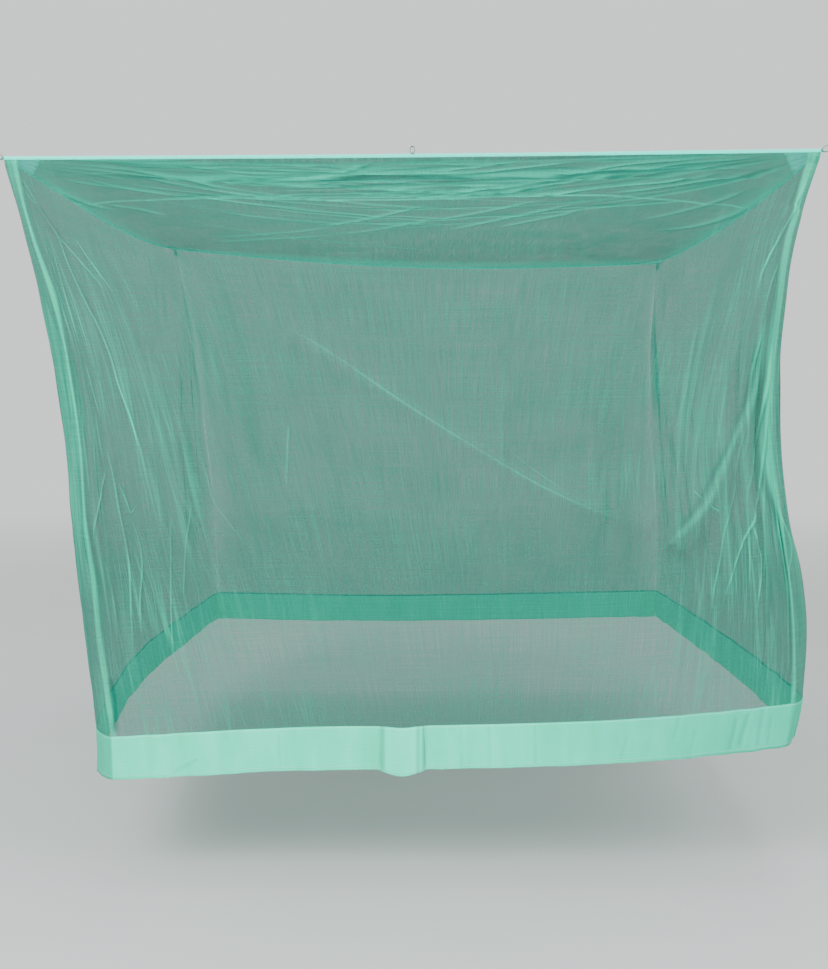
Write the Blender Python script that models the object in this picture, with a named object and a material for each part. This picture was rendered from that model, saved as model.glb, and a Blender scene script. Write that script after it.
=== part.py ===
"""A box-shaped mosquito net, hung by the loops at its four top corners.

Metres, +Z up, +X to the right and +Y to the back. The origin is on the top of the edge tape, in the middle of
the front edge, where the small front loop stands. The net hangs as it does over a bed: its left side drawn in,
its right side pushed out below, its border on a slope.
"""
import math
from collections import namedtuple

import bmesh
import bpy
from mathutils import Vector

NET_DEPTH = 1.98            # 6.5 ft front to back; the front is as wide
NETTING = 0.001             # thickness of a netting sheet
BORDER_CLOTH = 0.0014
BORDER_HEIGHT = 0.115
TAPE_HEIGHT = 0.009
TAPE_THICK = 0.0024
PATCH_CLOTH = 0.001
TOUCH = 0.0003              # gap between sewn pieces
EDGE_TOUCH = 0.0005         # the same, under and beside the edge tape
CORNER_TOUCH = 0.0012       # a wall's end stops this far from the corner line
ROOF_BELOW_TAPE_TOP = 0.004

# The four top corners, where the loops pull.
FRONT_LEFT = Vector((-0.990, 0.0, -0.006))
FRONT_RIGHT = Vector((0.990, 0.0, 0.012))
BACK_LEFT = Vector((-1.022, NET_DEPTH, 0.015))
BACK_RIGHT = Vector((0.986, NET_DEPTH, -0.042))

# Each top edge runs between two corners and sags; skew moves the lowest point along it.
Edge = namedtuple("Edge", "start end sag skew")
EDGES = {
    "front": Edge(FRONT_LEFT, FRONT_RIGHT, 0.003, 1.0),
    "back": Edge(BACK_LEFT, BACK_RIGHT, 0.045, 1.0),
    "left": Edge(FRONT_LEFT, BACK_LEFT, 0.034, 1.3),
    "right": Edge(FRONT_RIGHT, BACK_RIGHT, 0.032, 0.9),
}

# How the corners run down from the top: the drop below the tape, the x of each corner line and of the
# standing fold beside it on the front wall.
Level = namedtuple("Level", "drop left left_fold right_fold right")
FRONT_LEVELS = [
    Level(0.00, -0.990, -0.972, 0.972, 0.990),
    Level(0.10, -0.970, -0.951, 0.944, 0.965),
    Level(0.20, -0.958, -0.926, 0.917, 0.952),
    Level(0.35, -0.936, -0.882, 0.902, 0.940),
    Level(0.50, -0.910, -0.852, 0.890, 0.930),
    Level(0.70, -0.889, -0.832, 0.893, 0.939),
    Level(0.90, -0.879, -0.825, 0.930, 0.968),
    Level(1.05, -0.870, -0.811, 0.955, 1.006),
    Level(1.20, -0.856, -0.803, 0.972, 1.025),
    Level(1.35, -0.844, -0.786, 0.977, 1.022),
    Level(1.45, -0.835, -0.777, 0.976, 1.014),
    Level(1.57, -0.815, -0.776, 0.966, 0.994),
]
BackLevel = namedtuple("BackLevel", "drop left right lean")
BACK_LEVELS = [
    BackLevel(0.00, -1.022, 0.986, 0.000),
    BackLevel(0.35, -0.958, 0.962, 0.010),
    BackLevel(0.70, -0.920, 0.975, 0.020),
    BackLevel(1.05, -0.885, 1.000, 0.027),
    BackLevel(1.57, -0.868, 1.008, 0.034),
]
CORNER_RECESS = 0.070       # the front corner lines lie this far behind the front wall
RECESS_DROP = 0.30          # ... from this drop down
LEFT_BULGE = 0.085          # how far the side walls hang out between their corners
RIGHT_BULGE = 0.030
BULGE_DROP = 0.90

# Where the netting ends and the border begins, along each wall from its left or front end.
SeamPoint = namedtuple("SeamPoint", "along z")
BORDER_SEAM = {
    "front": [SeamPoint(0.00, -1.455), SeamPoint(0.27, -1.430), SeamPoint(0.50, -1.424),
              SeamPoint(0.73, -1.411), SeamPoint(0.88, -1.390), SeamPoint(1.00, -1.366)],
    "back": [SeamPoint(0.00, -1.436), SeamPoint(0.35, -1.448), SeamPoint(0.70, -1.440), SeamPoint(1.00, -1.428)],
    "left": [SeamPoint(0.00, -1.455), SeamPoint(0.40, -1.444), SeamPoint(0.75, -1.450), SeamPoint(1.00, -1.436)],
    "right": [SeamPoint(0.00, -1.366), SeamPoint(0.30, -1.388), SeamPoint(0.65, -1.412), SeamPoint(1.00, -1.428)],
}

# Folds that fan from the top corners: place along the wall, half width, height, and how far down each starts.
Fan = namedtuple("Fan", "along width height starts")
FANS = {
    "front": [Fan(0.055, 0.018, 0.010, 0.10), Fan(0.100, 0.024, 0.014, 0.16), Fan(0.160, 0.030, 0.010, 0.25),
              Fan(0.250, 0.040, 0.008, 0.35), Fan(0.400, 0.050, 0.006, 0.45), Fan(0.560, 0.045, 0.005, 0.40),
              Fan(0.700, 0.050, 0.006, 0.50), Fan(0.815, 0.034, 0.009, 0.35), Fan(0.870, 0.026, 0.012, 0.22),
              Fan(0.912, 0.020, 0.015, 0.14), Fan(0.948, 0.018, 0.012, 0.10)],
    "back": [Fan(0.070, 0.030, 0.012, 0.12), Fan(0.170, 0.040, 0.010, 0.20), Fan(0.330, 0.055, 0.008, 0.35),
             Fan(0.520, 0.060, 0.008, 0.40), Fan(0.700, 0.050, 0.010, 0.30), Fan(0.850, 0.035, 0.012, 0.18),
             Fan(0.940, 0.025, 0.012, 0.10)],
    "left": [Fan(0.080, 0.030, 0.014, 0.10), Fan(0.190, 0.040, 0.016, 0.18), Fan(0.340, 0.045, 0.014, 0.25),
             Fan(0.520, 0.055, 0.016, 0.30), Fan(0.690, 0.045, 0.014, 0.30), Fan(0.830, 0.040, 0.014, 0.18),
             Fan(0.930, 0.028, 0.012, 0.10)],
    "right": [Fan(0.060, 0.025, 0.014, 0.10), Fan(0.150, 0.035, 0.016, 0.15), Fan(0.270, 0.040, 0.014, 0.22),
              Fan(0.430, 0.050, 0.012, 0.30), Fan(0.610, 0.050, 0.014, 0.32), Fan(0.780, 0.045, 0.014, 0.22),
              Fan(0.910, 0.030, 0.014, 0.10)],
}
FAN_CROWDING = 0.80         # how far the folds draw together towards the top corners
FAN_AT_BORDER = 0.25        # share of a fold's height left at the border

# The two long folds that cross the front wall, as (x, drop) along their crests.
Crease = namedtuple("Crease", "crest width height")
CREASES = [
    Crease([(-0.31, 0.42), (0.02, 0.62), (0.37, 0.82), (0.61, 0.92)], 0.055, 0.007),
    Crease([(0.93, 0.12), (0.875, 0.345), (0.842, 0.585), (0.787, 0.76), (0.716, 0.90), (0.655, 0.975)],
           0.050, 0.020),
]

# The box pleat in the front border.
PLEAT_LEFT, PLEAT_RIGHT = -0.082, 0.026
PLEAT_UNDER = 0.034         # how far the cloth turns back under each side
PLEAT_STEP = 0.0040         # from one layer to the next in front of it
PLEAT_DROP = 0.014          # the outer layer hangs lower by this

# The roof: its sewn seam and the fold in front of it, measured from the front edge.
ROOF_SEAM = 0.620
ROOF_SEAM_WIDTH = 0.010
ROOF_SEAM_THICK = 0.0026
ROOF_FOLD = 0.235
ROOF_FOLD_HALF = 0.030
ROOF_FOLD_HEIGHT = 0.008
ROOF_SAG = 0.010
ROOF_BACK_POWER = 1.8       # the sag lies towards the back
SIDE_SAG_REACH = 0.30       # how far in from the sides their sag is felt
RIPPLE = 0.005
PATCH_WIDTH = 0.090
PATCH_BACK = 1.775          # where the back patches begin

LOOP_LENGTH, LOOP_HEIGHT = 0.032, 0.015
LOOP_TAPE, LOOP_WIDTH = 0.0018, 0.009
LOOP_TILT = math.radians(20)
LOOP_SIDES = 14
FRONT_LOOP_WIDTH, FRONT_LOOP_HEIGHT = 0.012, 0.018
FRONT_LOOP_TAPE, FRONT_LOOP_DEPTH = 0.0016, 0.008

FACE_COLUMNS = 38
TURN_COLUMNS = 2
SIDE_COLUMNS = 24
BORDER_ROWS = 2
WALL_ROWS = 18              # the same on every wall, so that their ends match
ROOF_COLUMNS = 20
TURN = 0.03                 # share of the front wall's columns that each corner turn takes


def mix(a, b, t):
    return a + (b - a) * t


def smooth(t):
    t = min(max(t, 0.0), 1.0)
    return t * t * (3 - 2 * t)


def on_curve(rows, key, column, at):
    """The value of a table's column at a place, on a smooth curve through its rows."""
    keys = [getattr(row, key) for row in rows]
    values = [getattr(row, column) for row in rows]
    last = len(rows) - 1
    slopes = [(values[min(i + 1, last)] - values[max(i - 1, 0)]) / (keys[min(i + 1, last)] - keys[max(i - 1, 0)])
              for i in range(last + 1)]
    at = min(max(at, keys[0]), keys[-1])
    i = max(n for n in range(last) if keys[n] <= at)
    span = keys[i + 1] - keys[i]
    t = (at - keys[i]) / span
    rise = smooth(t)
    return (mix(values[i], values[i + 1], rise)
            + span * (slopes[i] * t * (1 - t) ** 2 - slopes[i + 1] * t * t * (1 - t)))


def bump(distance, half_width):
    """A soft ridge, 1 on its crest and 0 a half width away."""
    share = abs(distance) / half_width
    return 0.0 if share >= 1 else 0.5 + 0.5 * math.cos(math.pi * share)


def distance_to_path(x, y, path):
    best = 1e9
    for (ax, ay), (bx, by) in zip(path, path[1:]):
        run_x, run_y = bx - ax, by - ay
        t = ((x - ax) * run_x + (y - ay) * run_y) / (run_x ** 2 + run_y ** 2)
        t = min(max(t, 0.0), 1.0)
        best = min(best, math.hypot(x - ax - run_x * t, y - ay - run_y * t))
    return best


def material(name, color, roughness, alpha=1.0):
    made = bpy.data.materials.new(name)
    made.use_nodes = True
    shader = made.node_tree.nodes["Principled BSDF"]
    shader.inputs["Base Color"].default_value = (*color, 1.0)
    shader.inputs["Roughness"].default_value = roughness
    shader.inputs["Metallic"].default_value = 0.0
    shader.inputs["Alpha"].default_value = alpha
    return made


def add_object(name, vertices, faces, look):
    mesh = bpy.data.meshes.new(name)
    mesh.from_pydata([tuple(v) for v in vertices], [], faces)
    shell = bmesh.new()
    shell.from_mesh(mesh)
    bmesh.ops.recalc_face_normals(shell, faces=shell.faces)
    shell.to_mesh(mesh)
    shell.free()
    mesh.materials.append(look)
    thing = bpy.data.objects.new(name, mesh)
    bpy.context.collection.objects.link(thing)
    return thing


def add_sheet(name, grid, thickness, look):
    """A closed sheet about a grid of middle points; thickness is a number, or one for each row."""
    columns, rows = len(grid), len(grid[0])
    thick = thickness if isinstance(thickness, list) else [thickness] * rows
    front, back = [], []
    for i in range(columns):
        for j in range(rows):
            across = grid[min(i + 1, columns - 1)][j] - grid[max(i - 1, 0)][j]
            down = grid[i][min(j + 1, rows - 1)] - grid[i][max(j - 1, 0)]
            normal = across.cross(down).normalized()
            front.append(grid[i][j] + normal * thick[j] / 2)
            back.append(grid[i][j] - normal * thick[j] / 2)
    count = columns * rows
    faces = []
    for i in range(columns - 1):
        for j in range(rows - 1):
            a, b, c, d = i * rows + j, (i + 1) * rows + j, (i + 1) * rows + j + 1, i * rows + j + 1
            # Every diagonal cuts off the corner of the sheet that it is nearest.
            if (2 * i < columns - 1) == (2 * j < rows - 1):
                pair = [(a, b, d), (b, c, d)]
            else:
                pair = [(a, b, c), (a, c, d)]
            for face in pair:
                faces.append(face)
                faces.append(tuple(count + v for v in reversed(face)))
    rim = ([i * rows for i in range(columns)]
           + [(columns - 1) * rows + j for j in range(1, rows)]
           + [i * rows + rows - 1 for i in range(columns - 2, -1, -1)]
           + [j for j in range(rows - 2, 0, -1)])
    for v, w in zip(rim, rim[1:] + rim[:1]):
        faces.append((w, v, count + v, count + w))
    return add_object(name, front + back, faces, look)


def edge_point(side, along):
    """A point on the top of a top edge's tape."""
    edge = EDGES[side]
    point = edge.start.lerp(edge.end, along)
    point.z -= edge.sag * math.sin(math.pi * along ** edge.skew)
    return point


def crowded(along, down):
    """Columns stand close to the corners at the top, and evenly at the border."""
    return along - FAN_CROWDING * (1 - down) * math.sin(2 * math.pi * along) / (2 * math.pi)


def fan_relief(side, along, down):
    total = 0.0
    for fold in FANS[side]:
        grown = smooth((down - fold.starts) / 0.35)
        faded = mix(1.0, FAN_AT_BORDER, smooth((down - 0.65) / 0.35))
        total += fold.height * bump(along - fold.along, fold.width) * grown * faded
    return total


def recess(drop):
    return CORNER_RECESS * smooth(drop / RECESS_DROP)


def heights(side, along, top_along):
    """The z of a column's two ends: under the tape and at the border's seam."""
    top = edge_point(side, top_along).z - TAPE_HEIGHT - EDGE_TOUCH
    return top, on_curve(BORDER_SEAM[side], "along", "z", along)


def front_wall_point(along, down):
    face = min(max((along - TURN) / (1 - 2 * TURN), 0.0), 1.0)
    spread = crowded(face, down)
    top, seam = heights("front", face, crowded(face, 0.0))
    z = mix(top, seam, down)
    drop = top - z
    left_fold = on_curve(FRONT_LEVELS, "drop", "left_fold", drop)
    right_fold = on_curve(FRONT_LEVELS, "drop", "right_fold", drop)
    x = mix(left_fold, right_fold, spread)
    y = 0.0
    if along < TURN:
        out = 1 - along / TURN
        x = mix(left_fold, on_curve(FRONT_LEVELS, "drop", "left", drop) + CORNER_TOUCH, out)
        y = recess(drop) * out ** 1.5
    elif along > 1 - TURN:
        out = (along - 1 + TURN) / TURN
        x = mix(right_fold, on_curve(FRONT_LEVELS, "drop", "right", drop) - CORNER_TOUCH, out)
        y = recess(drop) * out ** 1.5
    y -= fan_relief("front", along, down)
    for crease in CREASES:
        y -= crease.height * bump(distance_to_path(x, drop, crease.crest), crease.width)
    return Vector((x, y, z))


def side_wall_point(side, along, down):
    spread = crowded(along, down)
    top, seam = heights(side, along, crowded(along, 0.0))
    z = mix(top, seam, down)
    drop = top - z
    sign = -1 if side == "left" else 1
    bulge = LEFT_BULGE if side == "left" else RIGHT_BULGE
    x = mix(on_curve(FRONT_LEVELS, "drop", side, drop), on_curve(BACK_LEVELS, "drop", side, drop), spread)
    x += sign * bulge * smooth(drop / BULGE_DROP) * math.sin(math.pi * spread) ** 0.8
    x += sign * fan_relief(side, along, down)
    y = mix(recess(drop), NET_DEPTH - on_curve(BACK_LEVELS, "drop", "lean", drop), spread)
    return Vector((x, y, z))


def back_wall_point(along, down):
    spread = crowded(along, down)
    top, seam = heights("back", along, crowded(along, 0.0))
    z = mix(top, seam, down)
    drop = top - z
    left = on_curve(BACK_LEVELS, "drop", "left", drop) + CORNER_TOUCH
    right = on_curve(BACK_LEVELS, "drop", "right", drop) - CORNER_TOUCH
    y = NET_DEPTH - on_curve(BACK_LEVELS, "drop", "lean", drop) + fan_relief("back", along, down)
    return Vector((mix(left, right, spread), y, z))


def wall_point(side, along, down):
    if side == "front":
        return front_wall_point(along, down)
    if side == "back":
        return back_wall_point(along, down)
    return side_wall_point(side, along, down)


def wall_columns(side):
    """Places along a wall, closer together towards its ends."""
    if side != "front":
        even = [i / SIDE_COLUMNS for i in range(SIDE_COLUMNS + 1)]
        return [t - 0.5 * math.sin(2 * math.pi * t) / (2 * math.pi) for t in even]
    turn = [TURN * i / TURN_COLUMNS for i in range(TURN_COLUMNS)]
    even = [i / FACE_COLUMNS for i in range(FACE_COLUMNS + 1)]
    face = [mix(TURN, 1 - TURN, t - 0.6 * math.sin(2 * math.pi * t) / (2 * math.pi)) for t in even]
    return turn + face + [1 - t for t in reversed(turn)]


def top_places(side):
    """Where a wall's columns meet the top edge, each place once."""
    if side != "front":
        return [crowded(along, 0.0) for along in wall_columns(side)]
    face = [(along - TURN) / (1 - 2 * TURN) for along in wall_columns(side)]
    return [crowded(along, 0.0) for along in face if -1e-9 < along < 1 + 1e-9]


def add_wall(side, look):
    grid = [[wall_point(side, along, j / WALL_ROWS) for j in range(WALL_ROWS + 1)]
            for along in wall_columns(side)]
    return add_sheet("wall_net_" + side, grid, NETTING, look)


def point_at(line, x):
    """The point of a line that runs in +X where it passes x."""
    a, b = next((a, b) for a, b in zip(line, line[1:]) if a.x <= x <= b.x)
    return a.lerp(b, (x - a.x) / (b.x - a.x))


def border_points(side):
    """The border's upper edge: the wall's lower edge, with the box pleat let into the front."""
    line = [wall_point(side, along, 1.0) - Vector((0, 0, TOUCH)) for along in wall_columns(side)]
    if side != "front":
        return line
    left, right = PLEAT_LEFT, PLEAT_RIGHT
    before = [p for p in line if p.x < left - 0.01]
    after = [p for p in line if p.x > right + 0.01]
    # Each turn of the pleat: its x, and how many steps it stands in front of the border.
    turns = [(left, 0.0), (left + PLEAT_UNDER, 0.15), (left + PLEAT_UNDER, 0.85), (left, 1.15), (left, 1.85),
             (mix(left, right, 0.33), 2.1), (mix(left, right, 0.67), 2.1), (right, 1.85), (right, 1.15),
             (right - PLEAT_UNDER, 0.85), (right - PLEAT_UNDER, 0.15), (right, 0.0)]
    pleat = [point_at(line, x) - Vector((0, steps * PLEAT_STEP, TOUCH)) for x, steps in turns]
    return before + pleat + after


def add_border(side, look):
    """Rows run from the seam to the hem, which hangs lower on the pleat's outer layer."""
    tops = border_points(side)
    line = [wall_point(side, along, 1.0) for along in wall_columns(side)]
    grid = []
    for top in tops:
        steps = (point_at(line, top.x).y - top.y) / PLEAT_STEP if side == "front" else 0.0
        height = BORDER_HEIGHT + PLEAT_DROP * smooth(steps / 2)
        grid.append([top - Vector((0, 0, height * row / BORDER_ROWS)) for row in range(BORDER_ROWS + 1)])
    return add_sheet("border_" + side, grid, BORDER_CLOTH, look)


def add_tape(side, look):
    """A strip of tape that stands on edge along a top edge; front and back run the full width."""
    runs_back = side in ("left", "right")
    across = Vector((1, 0, 0)) if runs_back else Vector((0, 1, 0))
    forward = Vector((0, 1, 0)) if runs_back else Vector((1, 0, 0))
    reach = -(TAPE_THICK / 2 + EDGE_TOUCH) if runs_back else TAPE_THICK / 2
    points = [edge_point(side, along) for along in top_places(side)]
    points[0] = points[0] - forward * reach
    points[-1] = points[-1] + forward * reach
    half = across * TAPE_THICK / 2
    low = Vector((0, 0, TAPE_HEIGHT))
    vertices, faces = [], []
    for point in points:
        vertices += [point - half, point + half, point + half - low, point - half - low]
    for i in range(len(points) - 1):
        for k in range(4):
            a, b = 4 * i + k, 4 * i + (k + 1) % 4
            faces.append((a, a + 4, b + 4, b))
    faces += [(0, 1, 2, 3), tuple(4 * (len(points) - 1) + k for k in (3, 2, 1, 0))]
    return add_object("edge_tape_" + side, vertices, faces, look)


def roof_point(across, y):
    """A point of the roof: across from 0 at the left tape to 1 at the right, y from the front edge."""
    inset = TAPE_THICK / 2 + EDGE_TOUCH
    v = y / NET_DEPTH
    left, right = edge_point("left", v), edge_point("right", v)
    x = mix(left.x + inset, right.x - inset, across)
    front, back = edge_point("front", across), edge_point("back", across)
    ruled = mix(front.z, back.z, v ** ROOF_BACK_POWER)
    left_lift = left.z - mix(FRONT_LEFT.z, BACK_LEFT.z, v ** ROOF_BACK_POWER)
    right_lift = right.z - mix(FRONT_RIGHT.z, BACK_RIGHT.z, v ** ROOF_BACK_POWER)
    z = ruled - ROOF_BELOW_TAPE_TOP
    z += left_lift * math.exp(-(x - left.x) / SIDE_SAG_REACH) + right_lift * math.exp(-(right.x - x) / SIDE_SAG_REACH)
    inner = math.sin(math.pi * across) * math.sin(math.pi * v)
    z -= ROOF_SAG * inner
    z -= ROOF_FOLD_HEIGHT * bump(y - ROOF_FOLD, ROOF_FOLD_HALF) * math.sin(math.pi * across) ** 0.4
    z += RIPPLE * inner * math.sin(9 * math.atan2(v, across + 0.05) + 2.0)
    z += RIPPLE * inner * math.sin(9 * math.atan2(v, 1.05 - across))
    return Vector((x, min(max(y, inset), NET_DEPTH - inset), z))


def roof_columns():
    """Evenly spaced, but for the first and last, which are as wide as a corner patch."""
    edge = PATCH_WIDTH / (FRONT_RIGHT.x - FRONT_LEFT.x)
    inner = [mix(edge, 1 - edge, i / (ROOF_COLUMNS - 2)) for i in range(ROOF_COLUMNS - 1)]
    return [0.0] + inner + [1.0]


def narrow_roof_rows():
    before, after = ROOF_FOLD - ROOF_FOLD_HALF, ROOF_FOLD + ROOF_FOLD_HALF
    return [0.0, before, ROOF_FOLD, after, 0.375, 0.490, ROOF_SEAM - TOUCH / 2]


def wide_roof_rows():
    seam_end = ROOF_SEAM + ROOF_SEAM_WIDTH
    rows = [ROOF_SEAM + TOUCH / 2, seam_end, seam_end + 0.003]
    inner = [mix(seam_end + 0.003, PATCH_BACK, i / 9) for i in range(1, 10)]
    return rows + inner + [NET_DEPTH]


def add_roof(look):
    narrow = [[roof_point(across, y) for y in narrow_roof_rows()] for across in roof_columns()]
    wide = [[roof_point(across, y) for y in wide_roof_rows()] for across in roof_columns()]
    add_sheet("roof_net_narrow", narrow, NETTING, look)
    wide_thickness = [ROOF_SEAM_THICK] * 2 + [NETTING] * (len(wide_roof_rows()) - 2)
    add_sheet("roof_net_wide", wide, wide_thickness, look)


def add_corner_patch(name, across_pair, y_pair, look):
    """A flat triangle under the roof's corner; the first of each pair is at the corner."""
    corner = roof_point(across_pair[0], y_pair[0])
    along_front = roof_point(across_pair[1], y_pair[0])
    along_side = roof_point(across_pair[0], y_pair[1])
    normal = (along_front - corner).cross(along_side - corner).normalized()
    normal *= math.copysign(1, normal.z)
    top = -normal * (NETTING / 2 + TOUCH)
    under = top - normal * PATCH_CLOTH
    triangle = [corner, along_front, along_side]
    vertices = [p + top for p in triangle] + [p + under for p in triangle]
    faces = [(0, 1, 2), (5, 4, 3), (0, 3, 4, 1), (1, 4, 5, 2), (2, 5, 3, 0)]
    return add_object(name, vertices, faces, look)


def add_corner_patches(look):
    columns = roof_columns()
    front, back = narrow_roof_rows(), wide_roof_rows()
    add_corner_patch("corner_patch_front_left", (columns[0], columns[1]), (front[0], front[1]), look)
    add_corner_patch("corner_patch_front_right", (columns[-1], columns[-2]), (front[0], front[1]), look)
    add_corner_patch("corner_patch_back_left", (columns[0], columns[1]), (back[-1], back[-2]), look)
    add_corner_patch("corner_patch_back_right", (columns[-1], columns[-2]), (back[-1], back[-2]), look)


def add_loop(name, center, half_long, half_high, tape, width, tilt, look):
    """A ring of tape on edge in the XZ plane, its long axis turned up from +X by tilt."""
    long_axis = Vector((math.cos(tilt), 0, math.sin(tilt)))
    high_axis = Vector((-math.sin(tilt), 0, math.cos(tilt)))
    vertices, faces = [], []
    for i in range(LOOP_SIDES):
        turn = 2 * math.pi * i / LOOP_SIDES
        for shrink, y in ((0, -1), (0, 1), (tape, 1), (tape, -1)):
            vertices.append(center + long_axis * ((half_long - shrink) * math.cos(turn))
                            + high_axis * ((half_high - shrink) * math.sin(turn)) + Vector((0, y * width / 2, 0)))
    for i in range(LOOP_SIDES):
        after = (i + 1) % LOOP_SIDES
        for k in range(4):
            a, b = 4 * i + k, 4 * i + (k + 1) % 4
            faces.append((a, 4 * after + k, 4 * after + (k + 1) % 4, b))
    return add_object(name, vertices, faces, look)


def add_loops(look):
    """Corner loops point out to the sides and up, each against the end of a tape."""
    half_long, half_high = LOOP_LENGTH / 2, LOOP_HEIGHT / 2
    reach = math.hypot(half_long * math.cos(LOOP_TILT), half_high * math.sin(LOOP_TILT))
    corners = {"front_left": (FRONT_LEFT, -1), "front_right": (FRONT_RIGHT, 1),
               "back_left": (BACK_LEFT, -1), "back_right": (BACK_RIGHT, 1)}
    for place, (corner, side) in corners.items():
        rise = half_long * math.sin(LOOP_TILT) - TAPE_HEIGHT / 2
        center = corner + Vector((side * (TAPE_THICK / 2 + TOUCH + reach), 0, rise))
        add_loop("hanging_loop_" + place, center, half_long, half_high, LOOP_TAPE, LOOP_WIDTH,
                 side * LOOP_TILT, look)
    upright = Vector((0, 0, TOUCH + FRONT_LOOP_HEIGHT / 2))
    add_loop("hanging_loop_front_middle", upright, FRONT_LOOP_HEIGHT / 2, FRONT_LOOP_WIDTH / 2, FRONT_LOOP_TAPE,
             FRONT_LOOP_DEPTH, math.pi / 2, look)


def build():
    for thing in list(bpy.data.objects):
        bpy.data.objects.remove(thing)
    netting = material("netting", (0.16, 0.42, 0.33), 0.75, 0.55)
    border_cloth = material("border_cloth", (0.38, 0.76, 0.60), 0.7)
    tape = material("edge_tape", (0.45, 0.88, 0.72), 0.6)
    loop_tape = material("loop_tape", (0.30, 0.55, 0.46), 0.65)
    for side in ("front", "back", "left", "right"):
        add_wall(side, netting)
        add_border(side, border_cloth)
        add_tape(side, tape)
    add_roof(netting)
    add_corner_patches(border_cloth)
    add_loops(loop_tape)


build()
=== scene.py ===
# The looks of a box-shaped mosquito net that hangs by loops at its four top corners.
import math

import bpy
import numpy as np
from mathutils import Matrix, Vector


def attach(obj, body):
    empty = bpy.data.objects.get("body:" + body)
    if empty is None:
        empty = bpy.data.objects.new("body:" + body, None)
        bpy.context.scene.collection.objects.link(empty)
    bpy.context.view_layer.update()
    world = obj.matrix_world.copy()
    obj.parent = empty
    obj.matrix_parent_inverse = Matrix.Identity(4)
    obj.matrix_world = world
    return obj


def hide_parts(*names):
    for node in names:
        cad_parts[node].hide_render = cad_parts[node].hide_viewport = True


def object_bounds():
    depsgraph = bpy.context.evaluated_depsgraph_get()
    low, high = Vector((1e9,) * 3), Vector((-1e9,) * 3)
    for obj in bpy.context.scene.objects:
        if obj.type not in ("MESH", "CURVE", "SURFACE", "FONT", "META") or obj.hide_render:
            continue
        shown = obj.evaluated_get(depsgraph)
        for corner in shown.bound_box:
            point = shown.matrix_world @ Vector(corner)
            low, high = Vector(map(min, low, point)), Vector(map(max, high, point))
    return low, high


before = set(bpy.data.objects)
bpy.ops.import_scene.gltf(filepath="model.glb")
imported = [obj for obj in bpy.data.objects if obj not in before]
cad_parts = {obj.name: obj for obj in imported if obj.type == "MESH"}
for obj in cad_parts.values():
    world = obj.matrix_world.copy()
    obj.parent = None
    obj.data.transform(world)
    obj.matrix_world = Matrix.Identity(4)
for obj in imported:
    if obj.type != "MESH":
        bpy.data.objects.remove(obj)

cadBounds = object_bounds()
bpy.ops.object.select_all(action="DESELECT")
print("frame loaded:", len(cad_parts), "nodes")


# camera, floor and light

view = {
    "place": (0.05, -2.8, -0.561),
    "downDegrees": 6.72,
    "lens": 41.65,
    "sensor": 36.0,
    "shift": (-0.0196, 0.0356),
}


def addCamera():
    bpy.ops.object.camera_add(location=view["place"], rotation=(math.radians(90 - view["downDegrees"]), 0, 0))
    camera = bpy.context.object
    camera.name = "photoCamera"
    camera.data.sensor_width = view["sensor"]
    camera.data.lens = view["lens"]
    camera.data.shift_x, camera.data.shift_y = view["shift"]
    bpy.context.scene.camera = camera


studio = {
    "floorBelowHem": 0.3,
    "floorRadius": 9.0,
    "floorFinish": (0.9, 0.1, 0.0),
    "floorShades": ((0.52, 0.54, 0.54), (0.56, 0.58, 0.58)),
    # the floor fades out between these distances from its middle
    "fadeFrom": 3.0,
    "fadeUntil": 8.8,
    "backdrop": (0.98, 1.0, 1.0),
    "skyStrength": 1.05,
    # name: place, aim, size, watts, how far its light spreads in degrees
    "lamps": {
        "keySoftbox": ((-2.6, -3.4, 2.2), (0.0, 0.8, -0.7), 2.6, 330.0, 180.0),
        "fillSoftbox": ((3.2, -2.4, 1.0), (0.1, 0.8, -0.8), 2.8, 110.0, 180.0),
        "overheadSoftbox": ((0.2, 1.0, 3.0), (0.0, 1.0, 0.0), 3.2, 120.0, 180.0),
        "floorSoftbox": ((0.0, 0.7, -1.8), (0.0, 0.701, 0.0), 1.5, 18.0, 84.0),
    },
}


# shader maths: a value in a material, whose sums and products become Math nodes

class Value:
    def __init__(self, look, socket):
        self.look = look
        self.socket = socket

    def maths(self, operation, first, second=None):
        inputs = {0: first} if second is None else {0: first, 1: second}
        return self.look.node("ShaderNodeMath", {"operation": operation}, inputs)

    def __add__(self, other):
        return self.maths("ADD", self, other)

    def __radd__(self, other):
        return self.maths("ADD", other, self)

    def __sub__(self, other):
        return self.maths("SUBTRACT", self, other)

    def __rsub__(self, other):
        return self.maths("SUBTRACT", other, self)

    def __mul__(self, other):
        return self.maths("MULTIPLY", self, other)

    def __rmul__(self, other):
        return self.maths("MULTIPLY", other, self)

    def __pow__(self, other):
        return self.maths("POWER", self, other)

    def sine(self):
        return self.maths("SINE", self)

    def size(self):
        return self.maths("ABSOLUTE", self)

    def bell(self):
        return self.maths("EXPONENT", self * self * -1.0)

    def clamped(self):
        return self.maths("MINIMUM", self.maths("MAXIMUM", self, 0.0), 1.0)


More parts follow.
